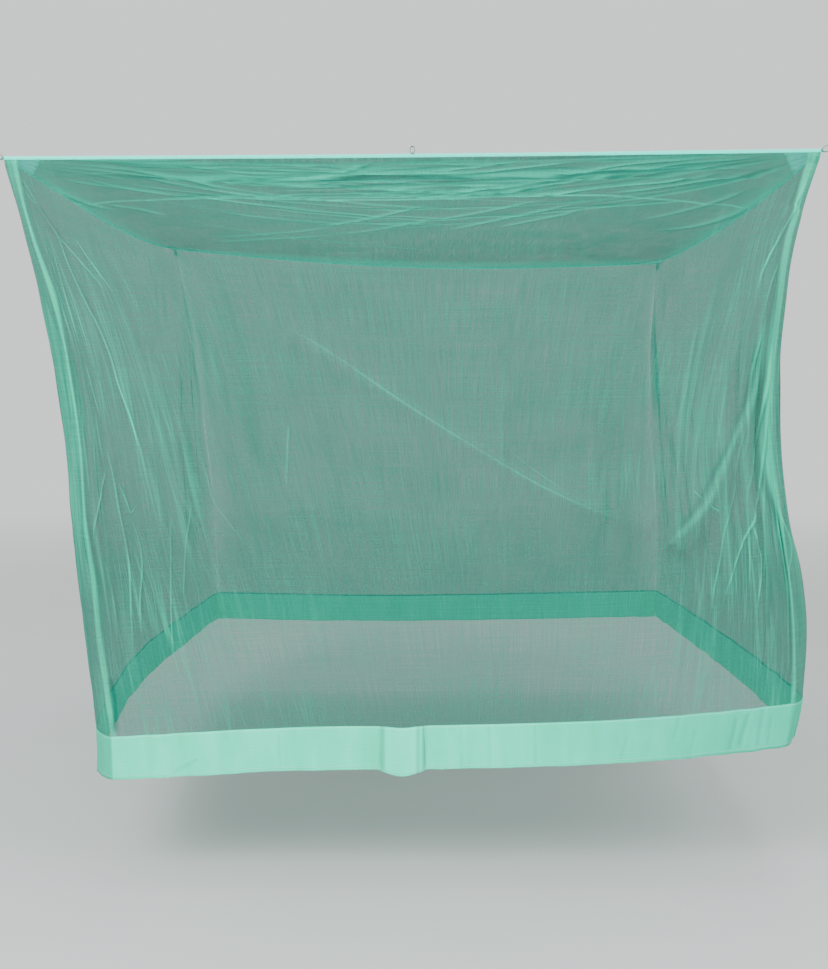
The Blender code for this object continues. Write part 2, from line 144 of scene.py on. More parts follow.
class Look:
    def __init__(self, name, roughness, gloss, sheen):
        self.material = bpy.data.materials.new(name)
        self.material.use_nodes = True
        self.tree = self.material.node_tree
        self.shader = self.tree.nodes["Principled BSDF"]
        self.shader.inputs["Roughness"].default_value = roughness
        self.shader.inputs["Specular IOR Level"].default_value = gloss
        self.shader.inputs["Sheen Weight"].default_value = sheen

    def node(self, kind, settings=None, inputs=None, output=0):
        made = self.tree.nodes.new(kind)
        for key, setting in (settings or {}).items():
            setattr(made, key, setting)
        for key, given in (inputs or {}).items():
            if isinstance(given, Value):
                self.tree.links.new(given.socket, made.inputs[key])
            else:
                made.inputs[key].default_value = given
        return Value(self, made.outputs[output])

    def feed(self, name, value):
        self.tree.links.new(value.socket, self.shader.inputs[name])

    def onCloth(self):
        # across and up the cut cloth, in metres
        cloth = self.node("ShaderNodeUVMap", {"uv_map": "cloth"})
        across = self.node("ShaderNodeSeparateXYZ", None, {0: cloth}, "X")
        up = self.node("ShaderNodeSeparateXYZ", None, {0: cloth}, "Y")
        return cloth, across, up

    def painted(self, name):
        return self.node("ShaderNodeAttribute", {"attribute_name": name}, None, "Fac")

    def lines(self, across, up, perMetre, along, slant, thin):
        # hair-fine lines that run up the cloth, wander, meet and part
        placed = self.node("ShaderNodeCombineXYZ", None,
                           {"X": (across + up * slant) * perMetre, "Y": up * along})
        return (1.0 - (self.hills(placed, 1.0, 0.4) - 0.5).size() * thin).clamped()

    def noise(self, cloth, stretch, detail=2.0):
        scaled = self.node("ShaderNodeVectorMath", {"operation": "MULTIPLY"}, {0: cloth, 1: (*stretch, 1.0)})
        return self.hills(scaled, detail, 0.5)

    def hills(self, placed, detail, roughness):
        return self.node("ShaderNodeTexNoise", {"noise_dimensions": "2D"},
                         {"Vector": placed, "Scale": 1.0, "Detail": detail, "Roughness": roughness}, 0)

    def dashes(self, across, length, gap):
        # stitches along a seam, with a gap between them
        along = self.node("ShaderNodeMath", {"operation": "PINGPONG"}, {0: across, 1: length})
        return self.node("ShaderNodeMath", {"operation": "GREATER_THAN"}, {0: along, 1: length * gap})

    def blend(self, share, first, second):
        first, second = [shade if isinstance(shade, Value) else (*shade, 1.0) for shade in (first, second)]
        return self.node("ShaderNodeMix", {"data_type": "RGBA"}, {0: share, 6: first, 7: second}, 2)

    def bump(self, height, distance, strength=1.0):
        self.feed("Normal", self.node("ShaderNodeBump", None,
                                      {"Height": height, "Distance": distance, "Strength": strength}))


netting = {
    # thread, painted shade of thread in a fold's shadow, painted highlight of folded cloth in the light
    "wall": ((0.01, 0.165, 0.119), (0.003, 0.07, 0.054), (0.016, 0.64, 0.385)),
    # the roof's thread is a darker, shaded copy of the walls', with a brighter painted highlight
    "roof": ((0.002, 0.115, 0.078), (0.001, 0.03, 0.022), (0.012, 0.9, 0.59)),
    "finish": (0.62, 0.1, 0.0),  # roughness, gloss, sheen
    "meshPitch": 0.0018,        # from one hole to the next
    "meshDepth": 0.22,          # how much the holes let through
    # how quickly the threads vary across and up the cloth, and how much that shows
    "warp": (420.0, 7.0, 0.9), "weft": (6.0, 380.0, 0.6), "cloud": (5.0, 5.0, 0.5), "grain": 0.24,
    "hairStrength": 0.3, "relief": 0.0004, "reliefStrength": 0.7, "warpRelief": 0.6,
    # the fine folds and their painted highlight come and go with the cloud; each placed line has a painted
    # shadow beside it
    "comes": 2.2, "goes": 0.1, "shadowBeside": 2.1, "lineShadow": 0.55,
    # what adds to the cover, and what to the colour's shade, the painted shade of troughs included
    "paintedShadeCover": 0.16, "gatherCover": 0.06, "thinning": 4.0, "grainShade": 0.22, "paintedShadeStrength": 0.8,
    # hair-fine folds: how many to a metre, how fast they change up the cloth, slant, thinness
    "hairs": [(31.0, 1.0, 0.0, 26.0), (22.0, 1.2, 0.1, 30.0), (26.0, 1.1, -0.12, 32.0)],
    "layers": 4,                # placed creases that lie close together are kept in separate layers
}


def makeNetting(name, shades, cover, folded, layers, hairs):
    thread, shaded, paintedHighlight = netting[shades]
    look = Look(name, *netting["finish"])
    cloth, across, up = look.onCloth()
    turn = math.pi / netting["meshPitch"]
    hole = ((across * turn).sine() ** 2.0) * ((up * turn).sine() ** 2.0)
    *warpPace, warpShows = netting["warp"]
    *weftPace, weftShows = netting["weft"]
    *cloudPace, cloudShows = netting["cloud"]
    warp = look.noise(cloth, warpPace, 0.0)
    weft = look.noise(cloth, weftPace, 0.0)
    cloud = look.noise(cloth, cloudPace, 1.0)
    ridgeHighlight = look.painted("ridgeHighlight")
    paintedShade = look.painted("paintedShade")
    gather = look.painted("gather")
    fineFoldHighlight = 0.0
    for layer in range(layers):
        offset = look.painted("offset" + str(layer))
        here = look.painted("here" + str(layer))
        fineFoldHighlight = offset.bell() * here + fineFoldHighlight
        paintedShade = paintedShade + (offset - netting["shadowBeside"]).bell() * here * netting["lineShadow"]
    for perMetre, along, slant, thin in netting["hairs"][:hairs]:
        fineFoldHighlight = look.lines(across, up, perMetre, along, slant, thin) * gather * netting["hairStrength"] + fineFoldHighlight
    fineFoldHighlight = fineFoldHighlight * (cloud * netting["comes"] - netting["goes"])
    grain = (warp - 0.5) * warpShows + (weft - 0.5) * weftShows + (cloud - 0.5) * cloudShows
    # how much of what lies behind is covered: more in folds and under the painted shade of troughs, less
    # where the sheet is marked thin
    cover = cover + grain * netting["grain"] + (ridgeHighlight + fineFoldHighlight) * folded + paintedShade * netting["paintedShadeCover"]
    cover = cover + (gather - look.painted("thin") * netting["thinning"]) * netting["gatherCover"]
    # 0.25 is the mean of hole, so the holes leave the cover as it is on the whole
    look.feed("Alpha", (cover + (0.25 - hole) * netting["meshDepth"]).clamped())
    # colour: painted highlight on ridges and fine folds, painted shade in troughs and beside the placed lines
    shade = look.blend((ridgeHighlight + fineFoldHighlight + grain * netting["grainShade"]).clamped(), thread, paintedHighlight)
    look.feed("Base Color", look.blend((paintedShade * netting["paintedShadeStrength"]).clamped(), shade, shaded))
    look.bump((1.0 - hole) + warp * netting["warpRelief"], netting["relief"], netting["reliefStrength"])
    return look.material


borderCloth = {
    # plain, pale and deep: of the border, and of the corner patches, which are painted lighter for the light
    # from below; pale also serves as painted highlight, deep as painted shade
    "border": ((0.002, 0.79, 0.465), (0.026, 0.99, 0.645), (0.001, 0.33, 0.2)),
    "patches": ((0.05, 1.0, 0.76), (0.2, 1.0, 0.9), (0.01, 0.56, 0.38)),
    "finish": (0.78, 0.12, 0.05), "stitchThread": (0.62, 0.9, 0.78),
    "threadPitch": 0.0007, "slubPace": (14.0, 420.0), "cloudPace": (15.0, 3.5),
    "stitchLength": 0.0042, "stitchGap": 0.28, "stitchWidth": 0.0009,
    "height": 0.115, "seamStitchBelow": 0.0035, "hemStitchUp": 0.009,
    # how much each shows in the colour, and how much it stands out
    "cloudShade": 1.5, "slubShade": 0.35, "paleFrom": 0.5, "ridgeHighlightStrength": 0.8, "paintedShadeStrength": 0.9,
    "stitchShade": 0.55, "weaveRelief": 0.12, "slubRelief": 0.25, "stitchRelief": 0.7,
    "relief": 0.0008, "reliefStrength": 0.6,
}


def makeBorderCloth(name, plain, pale, deep):
    look = Look(name, *borderCloth["finish"])
    cloth, across, up = look.onCloth()
    turn = math.pi / borderCloth["threadPitch"]
    weave = (across * turn).sine() * (up * turn).sine()
    slub = look.noise(cloth, borderCloth["slubPace"])
    cloud = look.noise(cloth, borderCloth["cloudPace"], 3.0)
    ridgeHighlight = look.painted("ridgeHighlight")
    paintedShade = look.painted("paintedShade")

    def stitchRow(height):
        onLine = look.node("ShaderNodeMath", {"operation": "LESS_THAN"},
                           {0: (up - height).size(), 1: borderCloth["stitchWidth"] / 2})
        return look.dashes(across, borderCloth["stitchLength"], borderCloth["stitchGap"]) * onLine

    seam = borderCloth["height"] - borderCloth["seamStitchBelow"]
    stitches = stitchRow(borderCloth["hemStitchUp"]) + stitchRow(seam)
    # the cloth's own cloudy, slubbed tone, with a painted highlight on ridges
    toneAndHighlight = (cloud * borderCloth["cloudShade"] + slub * borderCloth["slubShade"] - borderCloth["paleFrom"]
                + ridgeHighlight * borderCloth["ridgeHighlightStrength"])
    shade = look.blend(toneAndHighlight.clamped(), plain, pale)
    # painted shade in troughs
    shade = look.blend((paintedShade * borderCloth["paintedShadeStrength"]).clamped(), shade, deep)
    sewn = (stitches * borderCloth["stitchShade"]).clamped()
    look.feed("Base Color", look.blend(sewn, shade, borderCloth["stitchThread"]))
    height = (weave * borderCloth["weaveRelief"] + slub * borderCloth["slubRelief"]
              + stitches * borderCloth["stitchRelief"])
    look.bump(height, borderCloth["relief"], borderCloth["reliefStrength"])
    return look.material


tapeCloth = {
    "plain": (0.02, 1.0, 0.8),
    "deep": (0.004, 0.8, 0.56),
    "loopPlain": (0.13, 0.33, 0.27),
    "loopDeep": (0.05, 0.18, 0.14),
    "finish": (0.55, 0.2, 0.1), "ribPitch": 0.0012, "wearPace": (60.0, 160.0),
    "stitchLength": 0.0038, "stitchGap": 0.3,
    "wearShade": 0.7, "stitchShade": 0.8, "ribRelief": 0.15, "stitchRelief": 0.6, "wearRelief": 0.4,
    "relief": 0.0006, "reliefStrength": 0.6,
}


def makeTapeCloth(name, plain, deep):
    look = Look(name, *tapeCloth["finish"])
    cloth, across, _ = look.onCloth()
    rib = (across * (2 * math.pi / tapeCloth["ribPitch"])).sine()
    wear = look.noise(cloth, tapeCloth["wearPace"], 3.0)
    stitch = look.dashes(across, tapeCloth["stitchLength"], tapeCloth["stitchGap"])
    row = look.painted("stitchRow")
    deepness = wear * tapeCloth["wearShade"] + row * (1.0 - stitch) * tapeCloth["stitchShade"]
    look.feed("Base Color", look.blend(deepness.clamped(), plain, deep))
    height = (rib * tapeCloth["ribRelief"] + row * stitch * tapeCloth["stitchRelief"]
              + wear * tapeCloth["wearRelief"])
    look.bump(height, tapeCloth["relief"], tapeCloth["reliefStrength"])
    return look.material


# the net's own shape, in metres: origin on the middle of the front top edge, +Y to the back

netDepth = 1.98
tapeHeight = 0.009
tapeThick = 0.0024
topEdges = {
    "front": {"start": (-0.99, 0.0, -0.006), "end": (0.99, 0.0, 0.012), "sag": 0.003, "skew": 1.0},
    "back": {"start": (-1.022, netDepth, 0.015), "end": (0.986, netDepth, -0.042), "sag": 0.045, "skew": 1.0},
    "left": {"start": (-0.99, 0.0, -0.006), "end": (-1.022, netDepth, 0.015), "sag": 0.034, "skew": 1.3},
    "right": {"start": (0.99, 0.0, 0.012), "end": (0.986, netDepth, -0.042), "sag": 0.032, "skew": 0.9},
}

# Drop below the tape; then the x of the left corner, the fold beside it, the right fold and the right corner.
frontCorners = [
    (0.0, -0.99, -0.972, 0.972, 0.99), (0.1, -0.97, -0.951, 0.944, 0.965),
    (0.2, -0.958, -0.926, 0.917, 0.952), (0.35, -0.936, -0.882, 0.902, 0.94),
    (0.5, -0.91, -0.852, 0.89, 0.93), (0.7, -0.889, -0.832, 0.893, 0.939),
    (0.9, -0.879, -0.825, 0.93, 0.968), (1.05, -0.87, -0.811, 0.955, 1.006),
    (1.2, -0.856, -0.803, 0.972, 1.025), (1.35, -0.844, -0.786, 0.977, 1.022),
    (1.45, -0.835, -0.777, 0.976, 1.014), (1.57, -0.815, -0.776, 0.966, 0.994),
]
# Drop; then the x of the back's left and right corner, and how far the back leans in.
backCorners = [
    (0.0, -1.022, 0.986, 0.0), (0.35, -0.958, 0.962, 0.01), (0.7, -0.92, 0.975, 0.02),
    (1.05, -0.885, 1.0, 0.027), (1.57, -0.868, 1.008, 0.034),
]
# Where the netting ends and the border begins: the place along each wall, and its z.
borderSeam = {
    "front": [(0.0, -1.455), (0.27, -1.43), (0.5, -1.424), (0.73, -1.411), (0.88, -1.39), (1.0, -1.366)],
    "back": [(0.0, -1.436), (0.35, -1.448), (0.7, -1.44), (1.0, -1.428)],
    "left": [(0.0, -1.455), (0.4, -1.444), (0.75, -1.45), (1.0, -1.436)],
    "right": [(0.0, -1.366), (0.3, -1.388), (0.65, -1.412), (1.0, -1.428)],
}
# The broad folds that fan from the top corners: place along, half width, height, and where each starts.
broadFans = {
    "front": [(0.055, 0.018, 0.01, 0.1), (0.1, 0.024, 0.014, 0.16), (0.16, 0.03, 0.01, 0.25),
              (0.25, 0.04, 0.008, 0.35), (0.4, 0.05, 0.006, 0.45), (0.56, 0.045, 0.005, 0.4),
              (0.7, 0.05, 0.006, 0.5), (0.815, 0.034, 0.009, 0.35), (0.87, 0.026, 0.012, 0.22),
              (0.912, 0.02, 0.015, 0.14), (0.948, 0.018, 0.012, 0.1)],
    "back": [(0.07, 0.03, 0.012, 0.12), (0.17, 0.04, 0.01, 0.2), (0.33, 0.055, 0.008, 0.35),
             (0.52, 0.06, 0.008, 0.4), (0.7, 0.05, 0.01, 0.3), (0.85, 0.035, 0.012, 0.18),
             (0.94, 0.025, 0.012, 0.1)],
    "left": [(0.08, 0.03, 0.014, 0.1), (0.19, 0.04, 0.016, 0.18), (0.34, 0.045, 0.014, 0.25),
             (0.52, 0.055, 0.016, 0.3), (0.69, 0.045, 0.014, 0.3), (0.83, 0.04, 0.014, 0.18),
             (0.93, 0.028, 0.012, 0.1)],
    "right": [(0.06, 0.025, 0.014, 0.1), (0.15, 0.035, 0.016, 0.15), (0.27, 0.04, 0.014, 0.22),
              (0.43, 0.05, 0.012, 0.3), (0.61, 0.05, 0.014, 0.32), (0.78, 0.045, 0.014, 0.22),
              (0.91, 0.03, 0.014, 0.1)],
}
drape = {
    "cornerRecess": 0.07, "recessDrop": 0.3,
    "bulge": {"left": 0.085, "right": 0.03}, "bulgeDrop": 0.9,
    "crowding": 0.8, "fanAtBorder": 0.25, "turn": 0.03,
    "underTape": 0.004, "behindBorder": 0.006,
}


def mix(a, b, t):
    return a + (b - a) * t


def smooth(t):
    t = np.clip(t, 0.0, 1.0)
    return t * t * (3 - 2 * t)


def throughRows(rows, column, at):
    keys = np.array([row[0] for row in rows])
    values = np.array([row[column] for row in rows])
    after = np.append(np.arange(1, len(keys)), len(keys) - 1)
    before = np.append(0, np.arange(len(keys) - 1))
    slopes = (values[after] - values[before]) / (keys[after] - keys[before])
    at = np.clip(at, keys[0], keys[-1])
    i = np.clip(np.searchsorted(keys, at, side="right") - 1, 0, len(keys) - 2)
    span = keys[i + 1] - keys[i]
    t = (at - keys[i]) / span
    return (mix(values[i], values[i + 1], smooth(t))
            + span * (slopes[i] * t * (1 - t) ** 2 - slopes[i + 1] * t * t * (1 - t)))


def softRidge(distance, halfWidth):
    share = np.minimum(np.abs(distance) / halfWidth, 1.0)
    return 0.5 + 0.5 * np.cos(math.pi * share)


def bell(distance, halfWidth):
    return np.exp(-(distance / halfWidth) ** 2)


def bunched(places, amount):
    # places between 0 and 1, closer together towards both ends
    return places - amount * np.sin(2 * math.pi * places) / (2 * math.pi)


def crowded(along, down):
    return bunched(along, drape["crowding"] * (1 - down))


def edgePoint(side, along):
    edge = topEdges[side]
    x, y, z = [mix(a, b, along) for a, b in zip(edge["start"], edge["end"])]
    return x, y, z - edge["sag"] * np.sin(math.pi * np.clip(along, 0, 1) ** edge["skew"])


def fanRelief(side, along, down):
    total = 0.0
    for place, width, height, starts in broadFans[side]:
        grown = smooth((down - starts) / 0.35)
        faded = mix(1.0, drape["fanAtBorder"], smooth((down - 0.65) / 0.35))
        total = total + height * softRidge(along - place, width) * grown * faded
    return total


def recess(drop):
    return drape["cornerRecess"] * smooth(drop / drape["recessDrop"])


def heights(side, along, topAlong):
    return edgePoint(side, topAlong)[2] - tapeHeight, throughRows(borderSeam[side], 1, along)


def frontWall(along, down):
    turn = drape["turn"]
    face = np.clip((along - turn) / (1 - 2 * turn), 0.0, 1.0)
    top, seam = heights("front", face, crowded(face, 0.0))
    z = mix(top, seam, down)
    drop = top - z
    leftFold = throughRows(frontCorners, 2, drop)
    rightFold = throughRows(frontCorners, 3, drop)
    x = mix(leftFold, rightFold, crowded(face, down))
    outLeft = np.clip(1 - along / turn, 0.0, 1.0)
    outRight = np.clip((along - 1 + turn) / turn, 0.0, 1.0)
    x = np.where(outLeft > 0, mix(leftFold, throughRows(frontCorners, 1, drop), outLeft), x)
    x = np.where(outRight > 0, mix(rightFold, throughRows(frontCorners, 4, drop), outRight), x)
    y = recess(drop) * (outLeft + outRight) ** 1.5 - fanRelief("front", along, down)
    return np.stack([x, y, z], -1)


def sideWall(side, along, down):
    spread = crowded(along, down)
    top, seam = heights(side, along, crowded(along, 0.0))
    z = mix(top, seam, down)
    drop = top - z
    sign = -1 if side == "left" else 1
    x = mix(throughRows(frontCorners, 1 if side == "left" else 4, drop),
            throughRows(backCorners, 1 if side == "left" else 2, drop), spread)
    out = drape["bulge"][side] * smooth(drop / drape["bulgeDrop"])
    out = out * np.sin(math.pi * np.clip(spread, 0, 1)) ** 0.8
    x = x + sign * (out + fanRelief(side, along, down))
    y = mix(recess(drop), netDepth - throughRows(backCorners, 3, drop), spread)
    return np.stack([x, y, z], -1)


def backWall(along, down):
    top, seam = heights("back", along, crowded(along, 0.0))
    z = mix(top, seam, down)
    drop = top - z
    x = mix(throughRows(backCorners, 1, drop), throughRows(backCorners, 2, drop), crowded(along, down))
    y = netDepth - throughRows(backCorners, 3, drop) + fanRelief("back", along, down)
    return np.stack([x, y, z], -1)


def wallPoint(side, along, down):
    along, down = np.broadcast_arrays(np.asarray(along, float), np.asarray(down, float))
    if side == "front":
        return frontWall(along, down)
    if side == "back":
        return backWall(along, down)
    return sideWall(side, along, down)


# creases: soft ridges with a painted highlight laid along lines on a sheet, each with a painted shadow in the
# trough beside it

def rounded(path, parts=4):
    # a smooth curve through given points
    points = np.array(path, float)
    if len(points) < 3:
        return points
    held = np.concatenate([[2 * points[0] - points[1]], points, [2 * points[-1] - points[-2]]])
    t = np.linspace(0, 1, parts, endpoint=False)[:, None]
    curve = []
    for p, q, r, s in zip(held, held[1:], held[2:], held[3:]):
        curve.append(0.5 * (2 * q + (r - p) * t + (2 * p - 5 * q + 4 * r - s) * t ** 2
                            + (3 * q - p - 3 * r + s) * t ** 3))
    return np.concatenate(curve + [points[-1:]])


def creaseAlong(a, b, path, reach, fadeIn=0.18, fadeOut=0.25):
    # a and b are the sheet's own two coordinates; returns which points lie near the path, how far off it and
    # on which side, and how strong the crease is there: it fades towards its ends
    points = rounded(path)
    runs = np.hypot(*(points[1:] - points[:-1]).T)
    starts = np.append(0, np.cumsum(runs))
    near = ((a > points[:, 0].min() - reach) & (a < points[:, 0].max() + reach)
            & (b > points[:, 1].min() - reach) & (b < points[:, 1].max() + reach))
    a, b = a[near], b[near]
    best = np.full(a.shape, 1e9)
    side = np.ones(a.shape)
    share = np.zeros(a.shape)
    for i, run in enumerate(runs):
        (ax, ay), (bx, by) = points[i], points[i + 1]
        t = np.clip(((a - ax) * (bx - ax) + (b - ay) * (by - ay)) / run ** 2, 0, 1)
        offA, offB = a - mix(ax, bx, t), b - mix(ay, by, t)
        distance = np.hypot(offA, offB)
        closer = distance < best
        best = np.where(closer, distance, best)
        side = np.where(closer, np.where((bx - ax) * offB - (by - ay) * offA > 0, 1, -1), side)
        share = np.where(closer, (starts[i] + run * t) / starts[-1], share)
    return near, best * side, smooth(share / fadeIn) * smooth((1 - share) / fadeOut)


def inMetres(path):
    return np.array(path) / 1000


def laidOver(under, over):
    # two painted highlights or painted shades together, never past 1
    return 1 - (1 - under) * (1 - over)


class Folds:
    # gathers the painted highlights of ridges and the painted shade of troughs of one sheet, with its lift
    def __init__(self, a, b, layers=0):
        self.a, self.b = a, b
        self.ridgeHighlight = np.zeros(a.shape)
        self.paintedShade = np.zeros(a.shape)
        self.lift = np.zeros(a.shape)
        self.gather = np.zeros(a.shape)
        self.thin = np.zeros(a.shape)
        self.offsets = [np.zeros(a.shape) for _ in range(layers)]
        self.here = [np.zeros(a.shape) for _ in range(layers)]

    def crease(self, path, width, lift, shine, shadow=0.5, fadeIn=0.18, fadeOut=0.25):
        near, offset, taper = creaseAlong(self.a, self.b, path, 5 * width, fadeIn, fadeOut)
        narrowed = width * (0.45 + 0.55 * taper)
        ridgeHighlight = bell(offset, narrowed) * taper
        paintedShade = bell(offset / narrowed - 1.9, 1) * taper
        self.ridgeHighlight[near] = laidOver(self.ridgeHighlight[near], np.clip(ridgeHighlight * shine, 0, 1))
        self.paintedShade[near] = laidOver(self.paintedShade[near], np.clip(paintedShade * shine * shadow, 0, 1))
        self.lift[near] += lift * (ridgeHighlight - 0.35 * paintedShade)

    def shade(self, path, width, amount, fadeIn=0.15, fadeOut=0.15):
        near, offset, taper = creaseAlong(self.a, self.b, path, 3 * width, fadeIn, fadeOut)
        self.paintedShade[near] = laidOver(self.paintedShade[near], amount * bell(offset, width) * taper)

    def line(self, path, width, lift, shine, fadeIn=0.15, fadeOut=0.25, reach=0.014, margin=0.01):
        # a thin crease with a painted highlight: the material draws it from its offset, so it stays crisp
        # between the grid's points
        near, offset, taper = creaseAlong(self.a, self.b, path, reach + margin, fadeIn, fadeOut)
        here = np.zeros(self.a.shape)
        here[near] = shine * taper * smooth((reach - np.abs(offset)) / (reach * 0.5))
        wide = np.zeros(self.a.shape, bool)
        wide[near] = np.abs(offset) < reach + margin
        clash = [float(held[wide].max()) for held in self.here]
        layer = clash.index(min(clash))
        take = wide & (here >= self.here[layer])
        whole = np.zeros(self.a.shape)
        whole[near] = offset / width
        self.offsets[layer][take] = whole[take]
        self.here[layer][take] = here[take]
        self.lift[near] += lift * bell(offset, 0.004) * taper

    def addPaintedHighlight(self, amount):
        # lays a painted highlight over the sheet
        self.ridgeHighlight = laidOver(self.ridgeHighlight, np.clip(amount, 0, 1))

    def painted(self):
        values = {"ridgeHighlight": self.ridgeHighlight, "paintedShade": self.paintedShade, "gather": self.gather, "thin": self.thin}
        for layer, (offset, here) in enumerate(zip(self.offsets, self.here)):
            values["offset" + str(layer)] = offset
            values["here" + str(layer)] = here
        return values


def uneven(a, b, cellsA, cellsB, seed):
    # smooth random hills between -1 and 1 on a lattice of cellsA by cellsB over the unit square
    lattice = np.random.default_rng(seed).uniform(-1, 1, (cellsA + 2, cellsB + 2))
    placeA, placeB = np.clip(a, 0, 1) * cellsA, np.clip(b, 0, 1) * cellsB
    i, j = np.floor(placeA).astype(int), np.floor(placeB).astype(int)
    s, t = smooth(placeA - i), smooth(placeB - j)
    low = mix(lattice[i, j], lattice[i + 1, j], s)
    high = mix(lattice[i, j + 1], lattice[i + 1, j + 1], s)
    return mix(low, high, t)


# making a sheet

def layGrid(name, points, cut, painted, flip=False):
    # a grid whose column i and row j lie at points[i, j], with its cut size kept as UVs
    columns, rows = points.shape[0] - 1, points.shape[1] - 1
    bpy.ops.object.select_all(action="DESELECT")
    bpy.ops.mesh.primitive_grid_add(x_subdivisions=columns, y_subdivisions=rows, size=1.0)
    sheet = bpy.context.object
    sheet.name = name
    sheet.data.name = name
    flat = np.empty(len(sheet.data.vertices) * 3)
    sheet.data.vertices.foreach_get("co", flat)
    flat = flat.reshape(-1, 3)
    i = np.rint((flat[:, 0] + 0.5) * columns).astype(int)
    j = np.rint((0.5 - flat[:, 1]) * rows).astype(int)
    sheet.data.vertices.foreach_set("co", points[i, j].ravel())
    cloth = np.stack([i / columns * cut[0], (1 - j / rows) * cut[1]], -1)
    corners = np.empty(len(sheet.data.loops), int)
    sheet.data.loops.foreach_get("vertex_index", corners)
    layer = sheet.data.uv_layers.active
    layer.name = "cloth"
    layer.uv.foreach_set("vector", cloth[corners].ravel())
    for name, values in painted.items():
        attribute = sheet.data.attributes.new(name, "FLOAT", "POINT")
        attribute.data.foreach_set("value", values[i, j].astype(np.float32))
    if flip:
        sheet.data.flip_normals()
    sheet.data.shade_smooth()
    sheet.data.update()
    return sheet


def outward(points, sign):
    across = np.gradient(points, axis=0)
    down = np.gradient(points, axis=1)
    normal = np.cross(down, across)
    normal /= np.maximum(np.linalg.norm(normal, axis=-1, keepdims=True), 1e-9)
    return normal * sign


def selectOnly(piece):
    bpy.ops.object.select_all(action="DESELECT")
    piece.select_set(True)
    bpy.context.view_layer.objects.active = piece


def mendSeams(piece, apart, openEnds=False):
    # merges a grid's edges or corner points where they meet, and can fill a tube's two open ends
    selectOnly(piece)
    bpy.ops.object.mode_set(mode="EDIT")
    bpy.ops.mesh.select_all(action="SELECT")
    bpy.ops.mesh.remove_doubles(threshold=apart)
    if openEnds:
        bpy.ops.mesh.select_all(action="DESELECT")
        bpy.ops.mesh.select_non_manifold(extend=False, use_wire=False, use_multi_face=False,
                                         use_non_contiguous=False, use_verts=False)
        bpy.ops.mesh.fill_holes(sides=0)
        bpy.ops.mesh.select_all(action="SELECT")
    bpy.ops.mesh.normals_make_consistent(inside=False)
    bpy.ops.object.mode_set(mode="OBJECT")


def finishSheet(sheet, material, replaced, thickness=None):
    sheet.data.materials.append(material)
    if thickness:
        selectOnly(sheet)
        thick = sheet.modifiers.new("thickness", "SOLIDIFY")
        thick.thickness = thickness
        thick.offset = 0.0
        thick.use_even_offset = False
        bpy.ops.object.modifier_apply(modifier=thick.name)
    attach(sheet, "root")
    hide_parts(*replaced)


# the four walls

